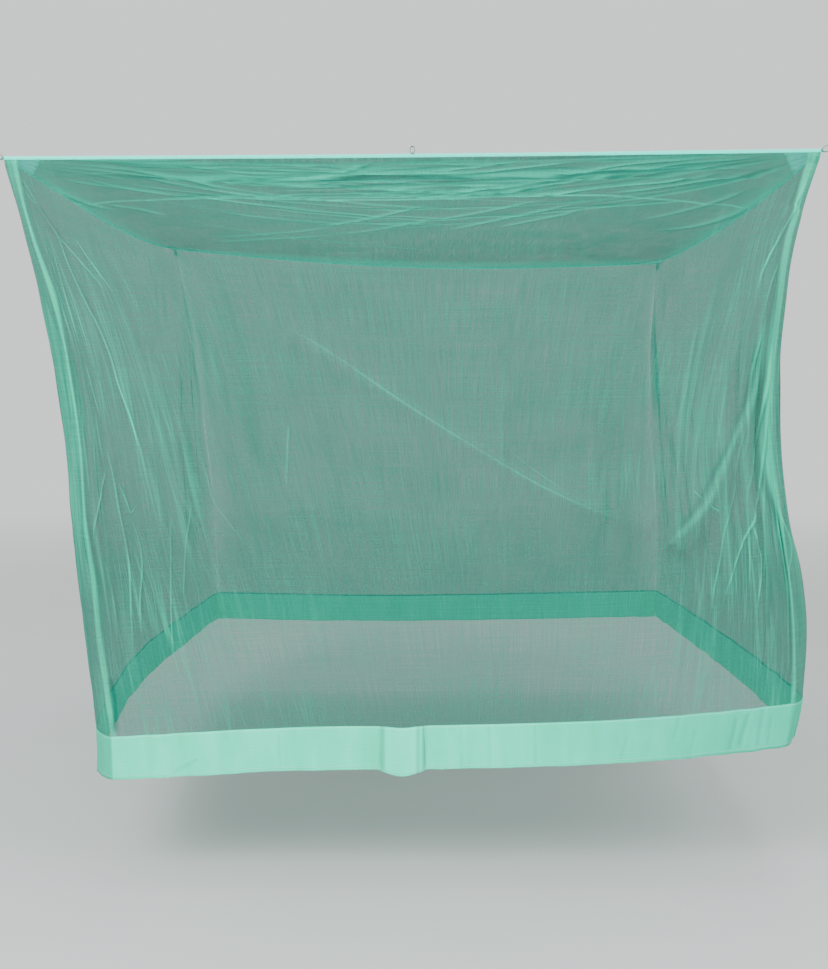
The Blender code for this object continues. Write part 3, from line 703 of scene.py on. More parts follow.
frontWallLook = {
    "columns": 476, "rows": 208, "columnCrowding": 0.35, "turnColumns": 20,
    "cloth": (1.98, 1.45),
    # painted highlight on the gathered strips outside the two standing folds: drop, left, right
    "strip": [(0.0, 0.5, 0.7), (0.15, 0.2, 0.3), (0.3, 0.18, 0.16), (0.42, 0.34, 0.16), (0.7, 0.38, 0.16),
              (0.88, 0.38, 0.16), (0.98, 0.22, 0.22), (1.15, 0.1, 0.24), (1.3, 0.06, 0.16),
              (1.45, 0.1, 0.16)],
    # the painted highlight band just inside each standing fold: drop, then width and brightness, left and
    # right
    "band": [(0.0, 0.01, 0.6, 0.012, 0.7), (0.12, 0.006, 0.7, 0.01, 0.72), (0.25, 0.008, 0.74, 0.012, 0.7),
             (0.33, 0.009, 0.76, 0.012, 0.7), (0.45, 0.0055, 0.76, 0.015, 0.72),
             (0.6, 0.0042, 0.8, 0.017, 0.74), (0.72, 0.0042, 0.76, 0.021, 0.7),
             (0.8, 0.0042, 0.72, 0.016, 0.66), (0.88, 0.0045, 0.66, 0.0075, 0.64),
             (0.96, 0.007, 0.62, 0.004, 0.6), (1.2, 0.01, 0.58, 0.005, 0.56),
             (1.45, 0.01, 0.56, 0.01, 0.5)],
    # long creases seen on the wall: path as (x, z) in mm, half width, lift, brightness of their painted
    # highlight
    "creases": [
        # left side, fanning down from the top corner
        ([(-975, -45), (-913, -126), (-868, -190), (-848, -249), (-824, -309), (-796, -370), (-773, -417),
          (-746, -489), (-730, -553), (-707, -617), (-688, -681), (-672, -741), (-664, -805), (-668, -860)],
          0.004, 0.006, 0.75),
        ([(-957, -41), (-900, -140), (-860, -200), (-826, -240), (-767, -310), (-735, -350)],
          0.0035, 0.005, 0.5),
        ([(-830, -190), (-799, -240), (-750, -309), (-725, -345)], 0.003, 0.004, 0.5),
        ([(-885, -210), (-862, -300), (-838, -400), (-820, -470)], 0.003, 0.004, 0.45),
        ([(-812, -500), (-803, -529), (-787, -593), (-768, -649)], 0.003, 0.004, 0.6),
        ([(-770, -660), (-762, -710), (-747, -777), (-736, -862), (-720, -956), (-713, -1036), (-714, -1150),
          (-716, -1290)], 0.0038, 0.005, 0.62),
        ([(-765, -750), (-784, -834), (-796, -904), (-810, -993)], 0.0028, 0.004, 0.85),
        ([(-738, -790), (-718, -850), (-708, -874), (-684, -838)], 0.0028, 0.003, 0.55),
        ([(-716, -872), (-696, -927), (-685, -998), (-691, -1098), (-688, -1210)], 0.0032, 0.004, 0.5),
        ([(-822, -600), (-818, -700), (-808, -830), (-800, -880)], 0.003, 0.003, 0.45),
        ([(-790, -620), (-780, -700), (-772, -760)], 0.0028, 0.003, 0.4),
        ([(-528, -720), (-503, -834), (-476, -881), (-440, -930), (-400, -985)], 0.004, 0.003, 0.35),
        ([(-611, -860), (-611, -1000), (-613, -1160), (-610, -1300)], 0.003, 0.004, 0.55),
        ([(-553, -840), (-573, -957), (-580, -1050), (-582, -1118)], 0.003, 0.004, 0.5),
        # right side
        ([(960, -50), (935, -112), (894, -196), (866, -255), (850, -300), (842, -340)], 0.004, 0.006, 0.6),
        ([(893, -250), (872, -320), (862, -366), (858, -420)], 0.003, 0.004, 0.5),
        ([(865, -380), (847, -532), (824, -620), (810, -660), (789, -707), (763, -776), (743, -835),
          (694, -901), (645, -952), (610, -985)], 0.0085, 0.004, 0.28),
        ([(862, -390), (852, -435), (837, -502), (826, -591), (825, -700), (815, -760)], 0.0035, 0.005, 0.62),
        ([(880, -430), (872, -502), (863, -601), (852, -700), (837, -808), (834, -870)], 0.0038, 0.005, 0.66),
        ([(874, -480), (872, -555), (871, -690), (869, -804), (857, -858), (850, -900), (824, -965),
          (808, -1016), (790, -1080), (778, -1140)], 0.0038, 0.005, 0.75),
        ([(812, -770), (806, -804), (794, -863), (782, -919), (773, -1002), (761, -1072), (756, -1150)],
          0.0032, 0.004, 0.62),
        ([(842, -880), (850, -905), (866, -956), (876, -995), (873, -1070), (866, -1150)],
          0.0032, 0.004, 0.6),
        ([(876, -760), (879, -827), (886, -965), (887, -1060)], 0.003, 0.004, 0.5),
        ([(836, -840), (839, -873), (848, -980), (851, -1090)], 0.003, 0.004, 0.5),
        ([(905, -840), (932, -901), (957, -959), (951, -1010), (946, -1075)], 0.0032, 0.004, 0.62),
        ([(896, -800), (908, -870), (919, -930), (931, -988), (944, -1058), (950, -1137), (955, -1227),
          (960, -1345)], 0.004, 0.005, 0.85),
        ([(820, -660), (806, -740), (800, -800)], 0.003, 0.003, 0.45),
        ([(700, -816), (712, -828), (727, -841)], 0.0025, 0.003, 0.6),
        ([(738, -850), (752, -862), (772, -869)], 0.0025, 0.003, 0.7),
        # across the middle
        ([(-370, -375), (-300, -420), (-205, -475), (-32, -593), (142, -702), (318, -805), (470, -873),
          (610, -920)], 0.0044, 0.004, 0.34),
        ([(-300, -420), (-32, -593), (318, -805), (610, -920)], 0.014, 0.002, 0.1),
        ([(225, -705), (300, -765), (385, -822)], 0.004, 0.003, 0.25),
        ([(-309, -640), (-314, -730), (-319, -830)], 0.004, 0.003, 0.35),
    ],
    # painted shadow lines where folds overlap: path as (x, z) in mm, half width, strength
    "shadows": [
        ([(-776, -1290), (-766, -1350), (-765, -1400), (-768, -1450)], 0.007, 0.75),
        ([(850, -400), (828, -560), (795, -670), (748, -780), (700, -870), (640, -945)], 0.007, 0.45),
        ([(-941, -220), (-905, -340), (-877, -440), (-862, -560), (-852, -700)], 0.004, 0.5),
        ([(882, -300), (868, -420), (862, -560), (868, -690), (880, -780)], 0.005, 0.18),
        ([(925, -860), (940, -950), (946, -1060)], 0.004, 0.2),
    ],
    # fine creases drawn by chance, on the wall's own lines: how many, place along from and to, brightness of
    # their painted highlight
    "chance": [(30, 0.032, 0.24, 0.15), (34, 0.78, 0.968, 0.16), (12, 0.24, 0.78, 0.08)],
    # where the hair-fine folds gather: place along, strength at the top, half-way down and at the foot
    "gather": [(0.0, 0.4, 0.4, 0.3), (0.03, 0.62, 0.6, 0.45), (0.1, 0.5, 0.52, 0.5), (0.17, 0.3, 0.4, 0.42),
               (0.26, 0.12, 0.2, 0.22), (0.4, 0.04, 0.06, 0.06), (0.6, 0.04, 0.06, 0.06),
               (0.74, 0.12, 0.2, 0.22), (0.83, 0.3, 0.42, 0.42), (0.9, 0.5, 0.6, 0.52),
               (0.97, 0.62, 0.65, 0.48), (1.0, 0.4, 0.4, 0.3)],
    # how far below the tape the roof shows behind the wall, which is kept thinner there: x, drop
    "roofSeen": [(-0.97, 0.01), (-0.858, 0.09), (-0.761, 0.146), (-0.688, 0.187), (-0.578, 0.225),
                 (0.0, 0.262), (0.591, 0.252), (0.7, 0.19), (0.846, 0.095), (0.944, 0.03), (0.98, 0.01)],
    # the two long soft folds that cross the wall: path as (x, z) in mm, half width, height
    "softFolds": [
        ([(-310, -420), (20, -620), (370, -820), (610, -920)], 0.055, 0.007),
        ([(930, -120), (875, -345), (842, -585), (787, -760), (716, -900), (655, -975)], 0.05, 0.02),
    ],
    "softFoldShare": 0.62,
    "wideCrease": 0.0045,       # narrower creases are drawn by the material
    "narrowing": 0.55, "lineLift": 0.6, "lineShine": 0.78,
    "crinkle": 0.0012, "thinBehindRoof": 0.03, "standingLift": 0.004,
    "seed": 7,
}


def chanceCreases(folds, side, plan, seed):
    dice = np.random.default_rng(seed)
    for count, first, last, shine in plan:
        for _ in range(count):
            along = mix(first, last, dice.uniform())
            top = dice.uniform(0.01, 0.78)
            length = dice.uniform(0.15, 0.55) * (1.15 - 0.6 * top)
            lean = dice.normal(0, 0.006)
            steps = np.linspace(0, 1, 6)
            bend = dice.normal(0, 0.002)
            places = along + lean * steps + bend * np.sin(math.pi * steps)
            points = wallPoint(side, places, np.minimum(top + length * steps, 1.0))
            path = points[:, [0, 2]] if side in ("front", "back") else points[:, [1, 2]]
            folds.crease(path, dice.uniform(0.005, 0.009), dice.uniform(0.001, 0.004),
                         shine * dice.uniform(0.3, 1.2), shadow=0.9, fadeIn=0.35, fadeOut=0.45)


def wallGrid(side, columns, rows, crowding, turnColumns):
    along = bunched(np.linspace(0, 1, columns + 1), crowding)
    if turnColumns:
        turn = drape["turn"]
        outer = np.linspace(0, turn, turnColumns + 1)[:-1]
        inner = bunched(np.linspace(0, 1, columns + 1 - 2 * turnColumns), crowding)
        inner = mix(turn, 1 - turn, inner)
        along = np.concatenate([outer, inner, 1 - outer[::-1]])
    down = np.linspace(0, 1, rows + 1)
    along, down = np.meshgrid(along, down, indexing="ij")
    return along, down, wallPoint(side, along, down)


def tuckEdges(points, pleated=False):
    # the top edge runs up into the tape, the lower edge down behind the border
    points[:, 0, 2] += drape["underTape"]
    points[:, -1, 2] -= drape["behindBorder"]
    if pleated:
        points[:, -1, 2] -= pleatDip(points[:, -1, 0], border["topDip"])


def heldAtEdges(down):
    # nothing stands out where the tape and the border hold the wall
    return smooth(down / 0.012) * smooth((1 - down) / 0.02)


gathers = {
    # hair-fine folds beside the corners, where no plan says otherwise
    "least": 0.06, "most": 0.4, "reach": 0.12, "unevenness": 0.35, "lift": 0.0008,
    # puckers under the tape: how far down, height, how soon they start, brightness of their painted
    # highlight, and how they bunch
    "puckerReach": 0.024, "puckerLift": 0.0018, "puckerStart": 0.006, "puckerShine": 0.16,
    "puckerWander": 3.0, "puckerLeast": 0.35,
}


def gatherHairs(along, down, folds, seed, plan=None):
    # how strongly the material shows its hair-fine folds, as painted highlight lines and denser cover
    if plan:
        rows = [throughRows(plan, column, along) for column in (1, 2, 3)]
        upper, lower = mix(rows[0], rows[1], smooth(down * 2)), mix(rows[1], rows[2], smooth(down * 2 - 1))
        held = np.where(down < 0.5, upper, lower)
    else:
        beside = np.exp(-along / gathers["reach"]) + np.exp(-(1 - along) / gathers["reach"])
        held = gathers["least"] + gathers["most"] * beside
    folds.gather = held * (1 + gathers["unevenness"] * uneven(along, down, 14, 7, seed))
    folds.lift += gathers["lift"] * held * uneven(along, down, 110, 5, seed + 1)


def puckers(along, down, folds, count, seed):
    # short gathers where the wall is sewn under the tape, with a painted highlight on each
    phase = along * count + gathers["puckerWander"] * uneven(along, down, 24, 1, seed)
    bunch = mix(gathers["puckerLeast"], 1.0, uneven(along, down, 17, 1, seed + 1) > -0.1)
    strength = smooth(1 - down / gathers["puckerReach"]) * bunch
    wave = np.sin(2 * math.pi * phase)
    folds.lift += gathers["puckerLift"] * wave * strength * smooth(down / gathers["puckerStart"])
    folds.addPaintedHighlight(gathers["puckerShine"] * np.clip(wave, 0, 1) * strength)


def addFrontWall(material):
    look = frontWallLook
    along, down, points = wallGrid("front", look["columns"], look["rows"], look["columnCrowding"],
                                   look["turnColumns"])
    x, z = points[..., 0], points[..., 2]
    folds = Folds(x, z, netting["layers"])
    drop = edgePoint("front", 0.5)[2] - tapeHeight - z
    turn = drape["turn"]
    left, right = throughRows(frontCorners, 2, drop), throughRows(frontCorners, 3, drop)
    streak = 0.75 + 0.25 * uneven(along, down, 240, 5, 31)
    # painted highlight, in streaks, on the gathered strips outside the standing folds
    folds.addPaintedHighlight(np.where(along < turn, throughRows(look["strip"], 1, drop), 0) * streak)
    folds.addPaintedHighlight(np.where(along > 1 - turn, throughRows(look["strip"], 2, drop), 0) * streak)
    # painted highlight bands just inside them, each with a painted shadow beside it
    for edge, sign, column in ((left, 1, 1), (right, -1, 3)):
        width = throughRows(look["band"], column, drop)
        inside = (x - edge) * sign
        amount = smooth(1.4 - np.abs(inside - width * 0.5) / width * 1.25)
        folds.addPaintedHighlight(throughRows(look["band"], column + 1, drop) * amount)
        folds.lift += look["standingLift"] * amount
        folds.paintedShade = laidOver(folds.paintedShade, 0.2 * bell(inside - width * 1.9, 0.45 * width))
    for path, width, lift, shine in look["creases"]:
        if width > look["wideCrease"]:
            folds.crease(inMetres(path), width, lift, shine, fadeIn=0.1, fadeOut=0.18)
        else:
            folds.line(inMetres(path), width * look["narrowing"], lift * look["lineLift"],
                       shine * look["lineShine"], fadeIn=0.22, fadeOut=0.32)
    chanceCreases(folds, "front", look["chance"], look["seed"])
    gatherHairs(along, down, folds, 52, look["gather"])
    roofSeen = throughRows(look["roofSeen"], 1, x)
    folds.thin = smooth((roofSeen + 0.012 - drop) / look["thinBehindRoof"])
    folds.thin = folds.thin * smooth(along / turn) * smooth((1 - along) / turn)
    folds.thin -= 0.7 * (1 - smooth(np.minimum(along, 1 - along) / turn)) * smooth(down / 0.2)
    for path, width, amount in look["shadows"]:
        folds.shade(inMetres(path), width, amount)
    puckers(along, down, folds, 260, 12)
    for path, width, height in look["softFolds"]:
        near, offset, taper = creaseAlong(x, z, inMetres(path), width * 3, 0.02, 0.02)
        points[..., 1][near] -= height * bell(offset, width * look["softFoldShare"]) * taper
    held = heldAtEdges(down)
    points += outward(points, 1) * (folds.lift * held)[..., None]
    points[..., 1] += look["crinkle"] * uneven(along, down, 60, 14, 5) * held
    tuckEdges(points, pleated=True)
    sheet = layGrid("frontWallNet", points, look["cloth"], folds.painted())
    finishSheet(sheet, material, ["wall_net_front"])
    return sheet


otherWalls = {
    "columns": 250, "rows": 150, "crowding": 0.5, "cloth": (1.98, 1.45),
    "thinAtBack": 0.75, "cornerReach": 0.03, "cornerWash": 0.16, "liftShare": 1.3, "crinkle": 0.0016,
    # each side: sign, seed, and creases by chance: how many, place along from and to, brightness of their
    # painted highlight
    "back": {"sign": -1, "seed": 21,
             "chance": [(26, 0.03, 0.2, 0.28), (26, 0.8, 0.97, 0.28), (30, 0.2, 0.8, 0.2)]},
    "left": {"sign": -1, "seed": 33,
             "chance": [(40, 0.02, 0.25, 0.34), (34, 0.75, 0.98, 0.3), (26, 0.25, 0.75, 0.24)]},
    "right": {"sign": 1, "seed": 45,
              "chance": [(44, 0.02, 0.25, 0.34), (34, 0.75, 0.98, 0.3), (26, 0.25, 0.75, 0.24)]},
}


def addOtherWall(side, material):
    look = otherWalls
    sign, seed = look[side]["sign"], look[side]["seed"]
    along, down, points = wallGrid(side, look["columns"], look["rows"], look["crowding"], 0)
    folds = Folds(points[..., 0 if side == "back" else 1], points[..., 2])
    chanceCreases(folds, side, look[side]["chance"], seed)
    gatherHairs(along, down, folds, seed + 11)
    puckers(along, down, folds, 240, seed + 2)
    gather = np.exp(-along / look["cornerReach"]) + np.exp(-(1 - along) / look["cornerReach"])
    streak = 0.7 + 0.3 * uneven(along, down, 260, 4, seed + 5)
    # painted highlight beside the corners, in streaks
    folds.addPaintedHighlight(look["cornerWash"] * gather * (1 - 0.6 * down) * streak)
    # thinner at the back corners, where two walls are seen edge on
    farCorner = np.minimum(along, 1 - along) if side == "back" else 1 - along
    folds.thin = look["thinAtBack"] * np.exp(-farCorner / look["cornerReach"]) * smooth(down / 0.05)
    relief = folds.lift * look["liftShare"] + look["crinkle"] * uneven(along, down, 46, 12, seed + 7)
    points += outward(points, sign) * (relief * heldAtEdges(down))[..., None]
    tuckEdges(points)
    sheet = layGrid(side + "WallNet", points, look["cloth"], folds.painted(), flip=sign < 0)
    finishSheet(sheet, material, ["wall_net_" + side])
    return sheet


# the roof, of a narrow and a wide width of netting

roof = {
    "seamWidth": 0.014, "fold": 0.235, "foldHalf": 0.03, "foldHeight": 0.008,
    "sag": 0.01, "backPower": 1.8, "sideReach": 0.3, "ripple": 0.005, "belowTapeTop": 0.004,
    "columns": 300, "narrowRows": 110, "wideRows": 150, "crowding": 0.4,
    "narrowCloth": (1.98, 0.62), "wideCloth": (1.98, 1.36),
    # the seam as it hangs: place across, y
    "seamLine": [(0.0, 0.6), (0.06, 0.572), (0.18, 0.536), (0.33, 0.56), (0.45, 0.542), (0.55, 0.496),
                 (0.63, 0.474), (0.77, 0.486), (0.84, 0.532), (0.94, 0.568), (1.0, 0.595)],
    # long creases seen on the roof: path as (x, y) in mm, half width, brightness of their painted highlight
    "creases": [
        # the pressed fold behind the front edge
        ([(-985, 205), (-868, 198), (-786, 186), (-685, 199), (-559, 217), (-428, 215), (-298, 217),
          (-179, 197), (-87, 177), (68, 182), (172, 198), (277, 202), (355, 204), (428, 171), (529, 152),
          (629, 142), (730, 141), (837, 158), (907, 155), (965, 208)], 0.02, 0.85),
        # from the front left corner
        ([(-940, 95), (-843, 120), (-731, 173), (-637, 217), (-537, 372), (-437, 443)], 0.012, 0.6),
        ([(-874, 62), (-761, 98), (-653, 172), (-561, 225), (-448, 338), (-317, 377)], 0.012, 0.55),
        ([(-775, 62), (-658, 89), (-538, 115), (-420, 165), (-298, 217)], 0.011, 0.6),
        ([(-625, 56), (-533, 90), (-442, 141), (-319, 178), (-243, 194)], 0.011, 0.6),
        ([(-956, 229), (-852, 323), (-739, 413), (-650, 516)], 0.014, 0.45),
        ([(-990, 307), (-980, 481), (-951, 606), (-916, 746)], 0.014, 0.5),
        ([(-933, 595), (-839, 687), (-780, 827)], 0.014, 0.45),
        ([(-746, 212), (-660, 312), (-547, 429), (-418, 502), (-247, 517)], 0.013, 0.5),
        ([(-560, 285), (-441, 295), (-310, 321), (-172, 292)], 0.012, 0.55),
        ([(-216, 182), (-159, 115), (-93, 59)], 0.011, 0.65),
        # from the front right corner
        ([(42, 450), (179, 364), (337, 290), (434, 217), (507, 183)], 0.012, 0.75),
        ([(70, 475), (236, 398), (393, 311), (488, 225), (587, 193), (686, 172)], 0.012, 0.8),
        ([(242, 501), (407, 431), (508, 359), (662, 306), (751, 228), (843, 179)], 0.013, 0.8),
        ([(524, 469), (651, 394), (767, 295), (853, 217), (906, 176)], 0.013, 0.7),
        ([(17, 181), (119, 127), (217, 84), (290, 64)], 0.011, 0.75),
        ([(69, 205), (221, 155), (344, 103), (440, 71)], 0.011, 0.75),
        ([(330, 224), (428, 171), (521, 109), (661, 59), (756, 41)], 0.011, 0.75),
        ([(533, 183), (648, 111), (763, 71), (879, 45)], 0.011, 0.65),
        ([(8, 945), (166, 778), (306, 588), (416, 517)], 0.015, 0.44),
        ([(74, 1146), (266, 890), (431, 656), (538, 561)], 0.015, 0.42),
        ([(250, 1090), (335, 962), (448, 801), (522, 658)], 0.014, 0.38),
        ([(752, 1088), (885, 932), (954, 699), (978, 530), (981, 349), (984, 241)], 0.016, 0.55),
        ([(690, 870), (754, 764), (838, 595), (897, 428), (930, 330)], 0.013, 0.4),
        # towards the back
        ([(-345, 985), (-285, 936), (-149, 829), (-20, 671), (41, 580)], 0.014, 0.4),
        ([(-340, 1150), (-232, 1101), (-93, 1005), (41, 871), (110, 790)], 0.014, 0.32),
        ([(-760, 1330), (-629, 1234), (-471, 1110), (-326, 1010), (-220, 950)], 0.014, 0.36),
        ([(-800, 1470), (-686, 1395), (-532, 1293), (-379, 1198), (-250, 1150)], 0.015, 0.36),
    ],
    # finer creases drawn by chance round the two front corners: how many, and how bright their painted
    # highlight is
    "fanCount": 52, "fanShine": 0.5, "seed": 71,
    # each placed crease has a wide soft swell under it with a fainter painted highlight: how much wider, how
    # much fainter
    "swellWidth": 2.8, "swellShine": 0.12, "creaseWidth": 0.85, "creaseShine": 1.15,
    "seamShine": 0.85, "seamDip": 0.0012, "cornerReach": 0.24, "cornerShine": 0.42,
}


def roofPoint(across, y):
    inset = tapeThick / 2 - 0.0006
    v = y / netDepth
    left, right = edgePoint("left", v), edgePoint("right", v)
    x = mix(left[0] + inset, right[0] - inset, across)
    front, back = edgePoint("front", across), edgePoint("back", across)
    bend = v ** roof["backPower"]
    z = mix(front[2], back[2], bend) - roof["belowTapeTop"]
    leftLift = left[2] - mix(topEdges["front"]["start"][2], topEdges["back"]["start"][2], bend)
    rightLift = right[2] - mix(topEdges["front"]["end"][2], topEdges["back"]["end"][2], bend)
    z = z + leftLift * np.exp(-(x - left[0]) / roof["sideReach"])
    z = z + rightLift * np.exp(-(right[0] - x) / roof["sideReach"])
    inner = np.sin(math.pi * across) * np.sin(math.pi * v)
    z = z - roof["sag"] * inner
    foldShape = softRidge(y - roof["fold"], roof["foldHalf"]) * np.clip(np.sin(math.pi * across), 0, 1) ** 0.4
    z = z - roof["foldHeight"] * foldShape
    z = z + roof["ripple"] * inner * np.sin(9 * np.arctan2(v, across + 0.05) + 2.0)
    z = z + roof["ripple"] * inner * np.sin(9 * np.arctan2(v, 1.05 - across))
    return np.stack([x, np.clip(y, inset, netDepth - inset) + 0 * x, z], -1)


def addRoofSheet(name, rows, cloth, material, replaced):
    across, share = np.meshgrid(bunched(np.linspace(0, 1, roof["columns"] + 1), roof["crowding"]),
                                np.linspace(1, 0, rows + 1), indexing="ij")
    seam = throughRows(roof["seamLine"], 1, across)
    y = seam * share if name == "narrowRoofNet" else mix(seam, netDepth, share)
    points = roofPoint(across, y)
    folds = Folds(points[..., 0], points[..., 1])
    dice = np.random.default_rng(roof["seed"])
    for cornerX, sign in ((-0.99, 1), (0.99, -1)):
        for _ in range(roof["fanCount"]):
            # most fan out low over the front edge
            angle = math.radians(dice.uniform(4, 34) if dice.uniform() < 0.7 else dice.uniform(34, 80))
            start, length = dice.uniform(0.05, 0.9), dice.uniform(0.25, 1.1)
            steps = np.linspace(0, 1, 6)
            bend = dice.normal(0, 0.05)
            reach = start + length * steps
            turnBy = angle * (1 - 0.35 * steps) + bend * steps
            path = np.stack([cornerX + sign * reach * np.cos(turnBy), reach * np.sin(turnBy)], -1)
            folds.crease(path, dice.uniform(0.005, 0.009), -dice.uniform(0.001, 0.003),
                         roof["fanShine"] * dice.uniform(0.3, 1.3), shadow=0.9)
    for path, width, shine in roof["creases"]:
        path = inMetres(path)
        folds.crease(path, width * roof["swellWidth"], -0.003, shine * roof["swellShine"], shadow=0.7,
                     fadeIn=0.3, fadeOut=0.3)
        folds.crease(path, width * roof["creaseWidth"], -0.002, min(1.0, shine * roof["creaseShine"]),
                     shadow=1.0, fadeIn=0.22, fadeOut=0.28)
    seamRidge = softRidge(y - seam, roof["seamWidth"])
    # painted highlight along the seam
    folds.addPaintedHighlight(roof["seamShine"] * seamRidge)
    nearCorner = sum(np.exp(-np.hypot(points[..., 0] - x, y) / roof["cornerReach"]) for x in (-0.99, 0.99))
    # painted highlight round the front corners
    folds.addPaintedHighlight(roof["cornerShine"] * nearCorner)
    # painted highlight along the sides and the back, where the roof turns down to its tape
    folds.addPaintedHighlight(0.55 * smooth((y - 1.72) / 0.22))
    folds.addPaintedHighlight(0.5 * np.exp(-np.minimum(across, 1 - across) / 0.016) * smooth(y / 0.3))
    edge = np.minimum(np.minimum(across, 1 - across) * 2, np.minimum(y, netDepth - y)) / 0.03
    points[..., 2] += (folds.lift - roof["seamDip"] * seamRidge) * smooth(edge)
    sheet = layGrid(name, points, cloth, folds.painted())
    finishSheet(sheet, material, replaced)
    return sheet


# the border: plain cloth round the foot, with a box pleat in front

border = {
    "height": 0.115, "cloth": 0.0011, "standsOut": 0.001, "rows": 14, "columns": 460,
    "pleatLeft": -0.082, "pleatRight": 0.026, "pleatUnder": 0.034, "pleatStep": 0.003, "sewnFlat": 0.35,
    "topDip": 0.005, "hemDip": 0.017, "dipHalf": 0.076,
    # pressed lines and slanted creases in front: path as (x, share down), half width, painted highlight,
    # painted shadow
    "creases": [
        ([(0.2, 0.0), (0.203, 1.0)], 0.003, 0.3, 0.8),
        ([(0.318, 0.0), (0.32, 1.0)], 0.003, 0.28, 0.8),
        ([(0.13, 0.05), (0.134, 0.95)], 0.005, 0.2, 0.7),
        ([(0.868, 0.1), (0.846, 0.9)], 0.0055, 0.55, 1.0),
        ([(0.838, 0.2), (0.82, 0.95)], 0.005, 0.5, 1.0),
        ([(0.69, 0.0), (0.676, 0.6)], 0.005, 0.3, 0.9),
        ([(0.735, 0.3), (0.718, 1.0)], 0.0045, 0.25, 0.8),
        ([(-0.62, 0.8), (-0.56, 0.55)], 0.0045, 0.3, 0.8),
        ([(-0.34, 0.1), (-0.336, 1.0)], 0.004, 0.18, 0.7),
        ([(0.905, 0.0), (0.892, 0.95)], 0.005, 0.45, 0.9),
        ([(0.925, 0.2), (0.918, 0.9)], 0.004, 0.4, 0.9),
        ([(0.56, 0.4), (0.54, 1.0)], 0.005, 0.22, 0.8),
    ],
    "creaseLift": 0.0012, "pleatShade": 0.34, "pleatShadeHalf": 0.007, "inPleat": 0.5, "onPleat": 0.5,
    # painted lines on the pleat, inside its right edge: x, half width, painted shade, painted highlight
    "pleatLines": [(0.012, 0.005, 0.55, 0), (0.0195, 0.0022, 0, 0.45)],
    "wave": 0.0022, "crinkle": 0.0008, "seamFade": 0.14,
    "hemWave": 0.001, "hemWaveWide": 0.0016, "drawnIn": 0.02,
    # round the other sides, creases by chance with a painted highlight and shadow
    "chanceCount": 9, "chanceLift": 0.001, "chanceShine": 0.35,
    "signs": {"front": 1, "back": -1, "left": -1, "right": 1},
    "seeds": {"front": 81, "back": 82, "left": 83, "right": 84},
}


def pleatDip(x, depth):
    # the pleat's weight pulls the border down a little about it
    middle = (border["pleatLeft"] + border["pleatRight"]) / 2
    return depth * softRidge(x - middle, border["dipHalf"])


def borderLine(side):
    # points along the wall's lower edge, and how many pleat layers each stands in front
    along = np.linspace(0, 1, 1201)
    line = wallPoint(side, along, 1.0)
    if side != "front":
        return line, np.zeros(len(line))
    left, right, under = border["pleatLeft"], border["pleatRight"], border["pleatUnder"]
    turns = [(left - 0.01, 0.0), (left, 0.0), (left + under, 0.15), (left + under + 0.001, 0.5),
             (left + under, 0.85), (left, 1.15), (left - 0.001, 1.5), (left, 1.85),
             (mix(left, right, 0.33), 2.1), (mix(left, right, 0.67), 2.1), (right, 1.85),
             (right + 0.001, 1.5), (right, 1.15), (right - under, 0.85), (right - under - 0.001, 0.5),
             (right - under, 0.15), (right, 0.0), (right + 0.01, 0.0)]
    places = np.array([x for x, _ in turns])
    steps = np.array([step for _, step in turns])
    dense = np.linspace(0, len(turns) - 1, 240)
    # between the turns the path is straight; the steps ease in and out
    pleatX = np.interp(dense, np.arange(len(turns)), places)
    pleatSteps = np.interp(dense, np.arange(len(turns)), steps)
    face = (line[:, 0] > -0.77) & (line[:, 0] < 0.94)
    onLine = np.stack([np.interp(pleatX, line[face, 0], line[face, k]) for k in range(3)], -1)
    before = line[line[:, 0] < places[0]]
    after = line[line[:, 0] > places[-1]]
    layers = np.concatenate([np.zeros(len(before)), pleatSteps, np.zeros(len(after))])
    return np.concatenate([before, onLine, after]), layers


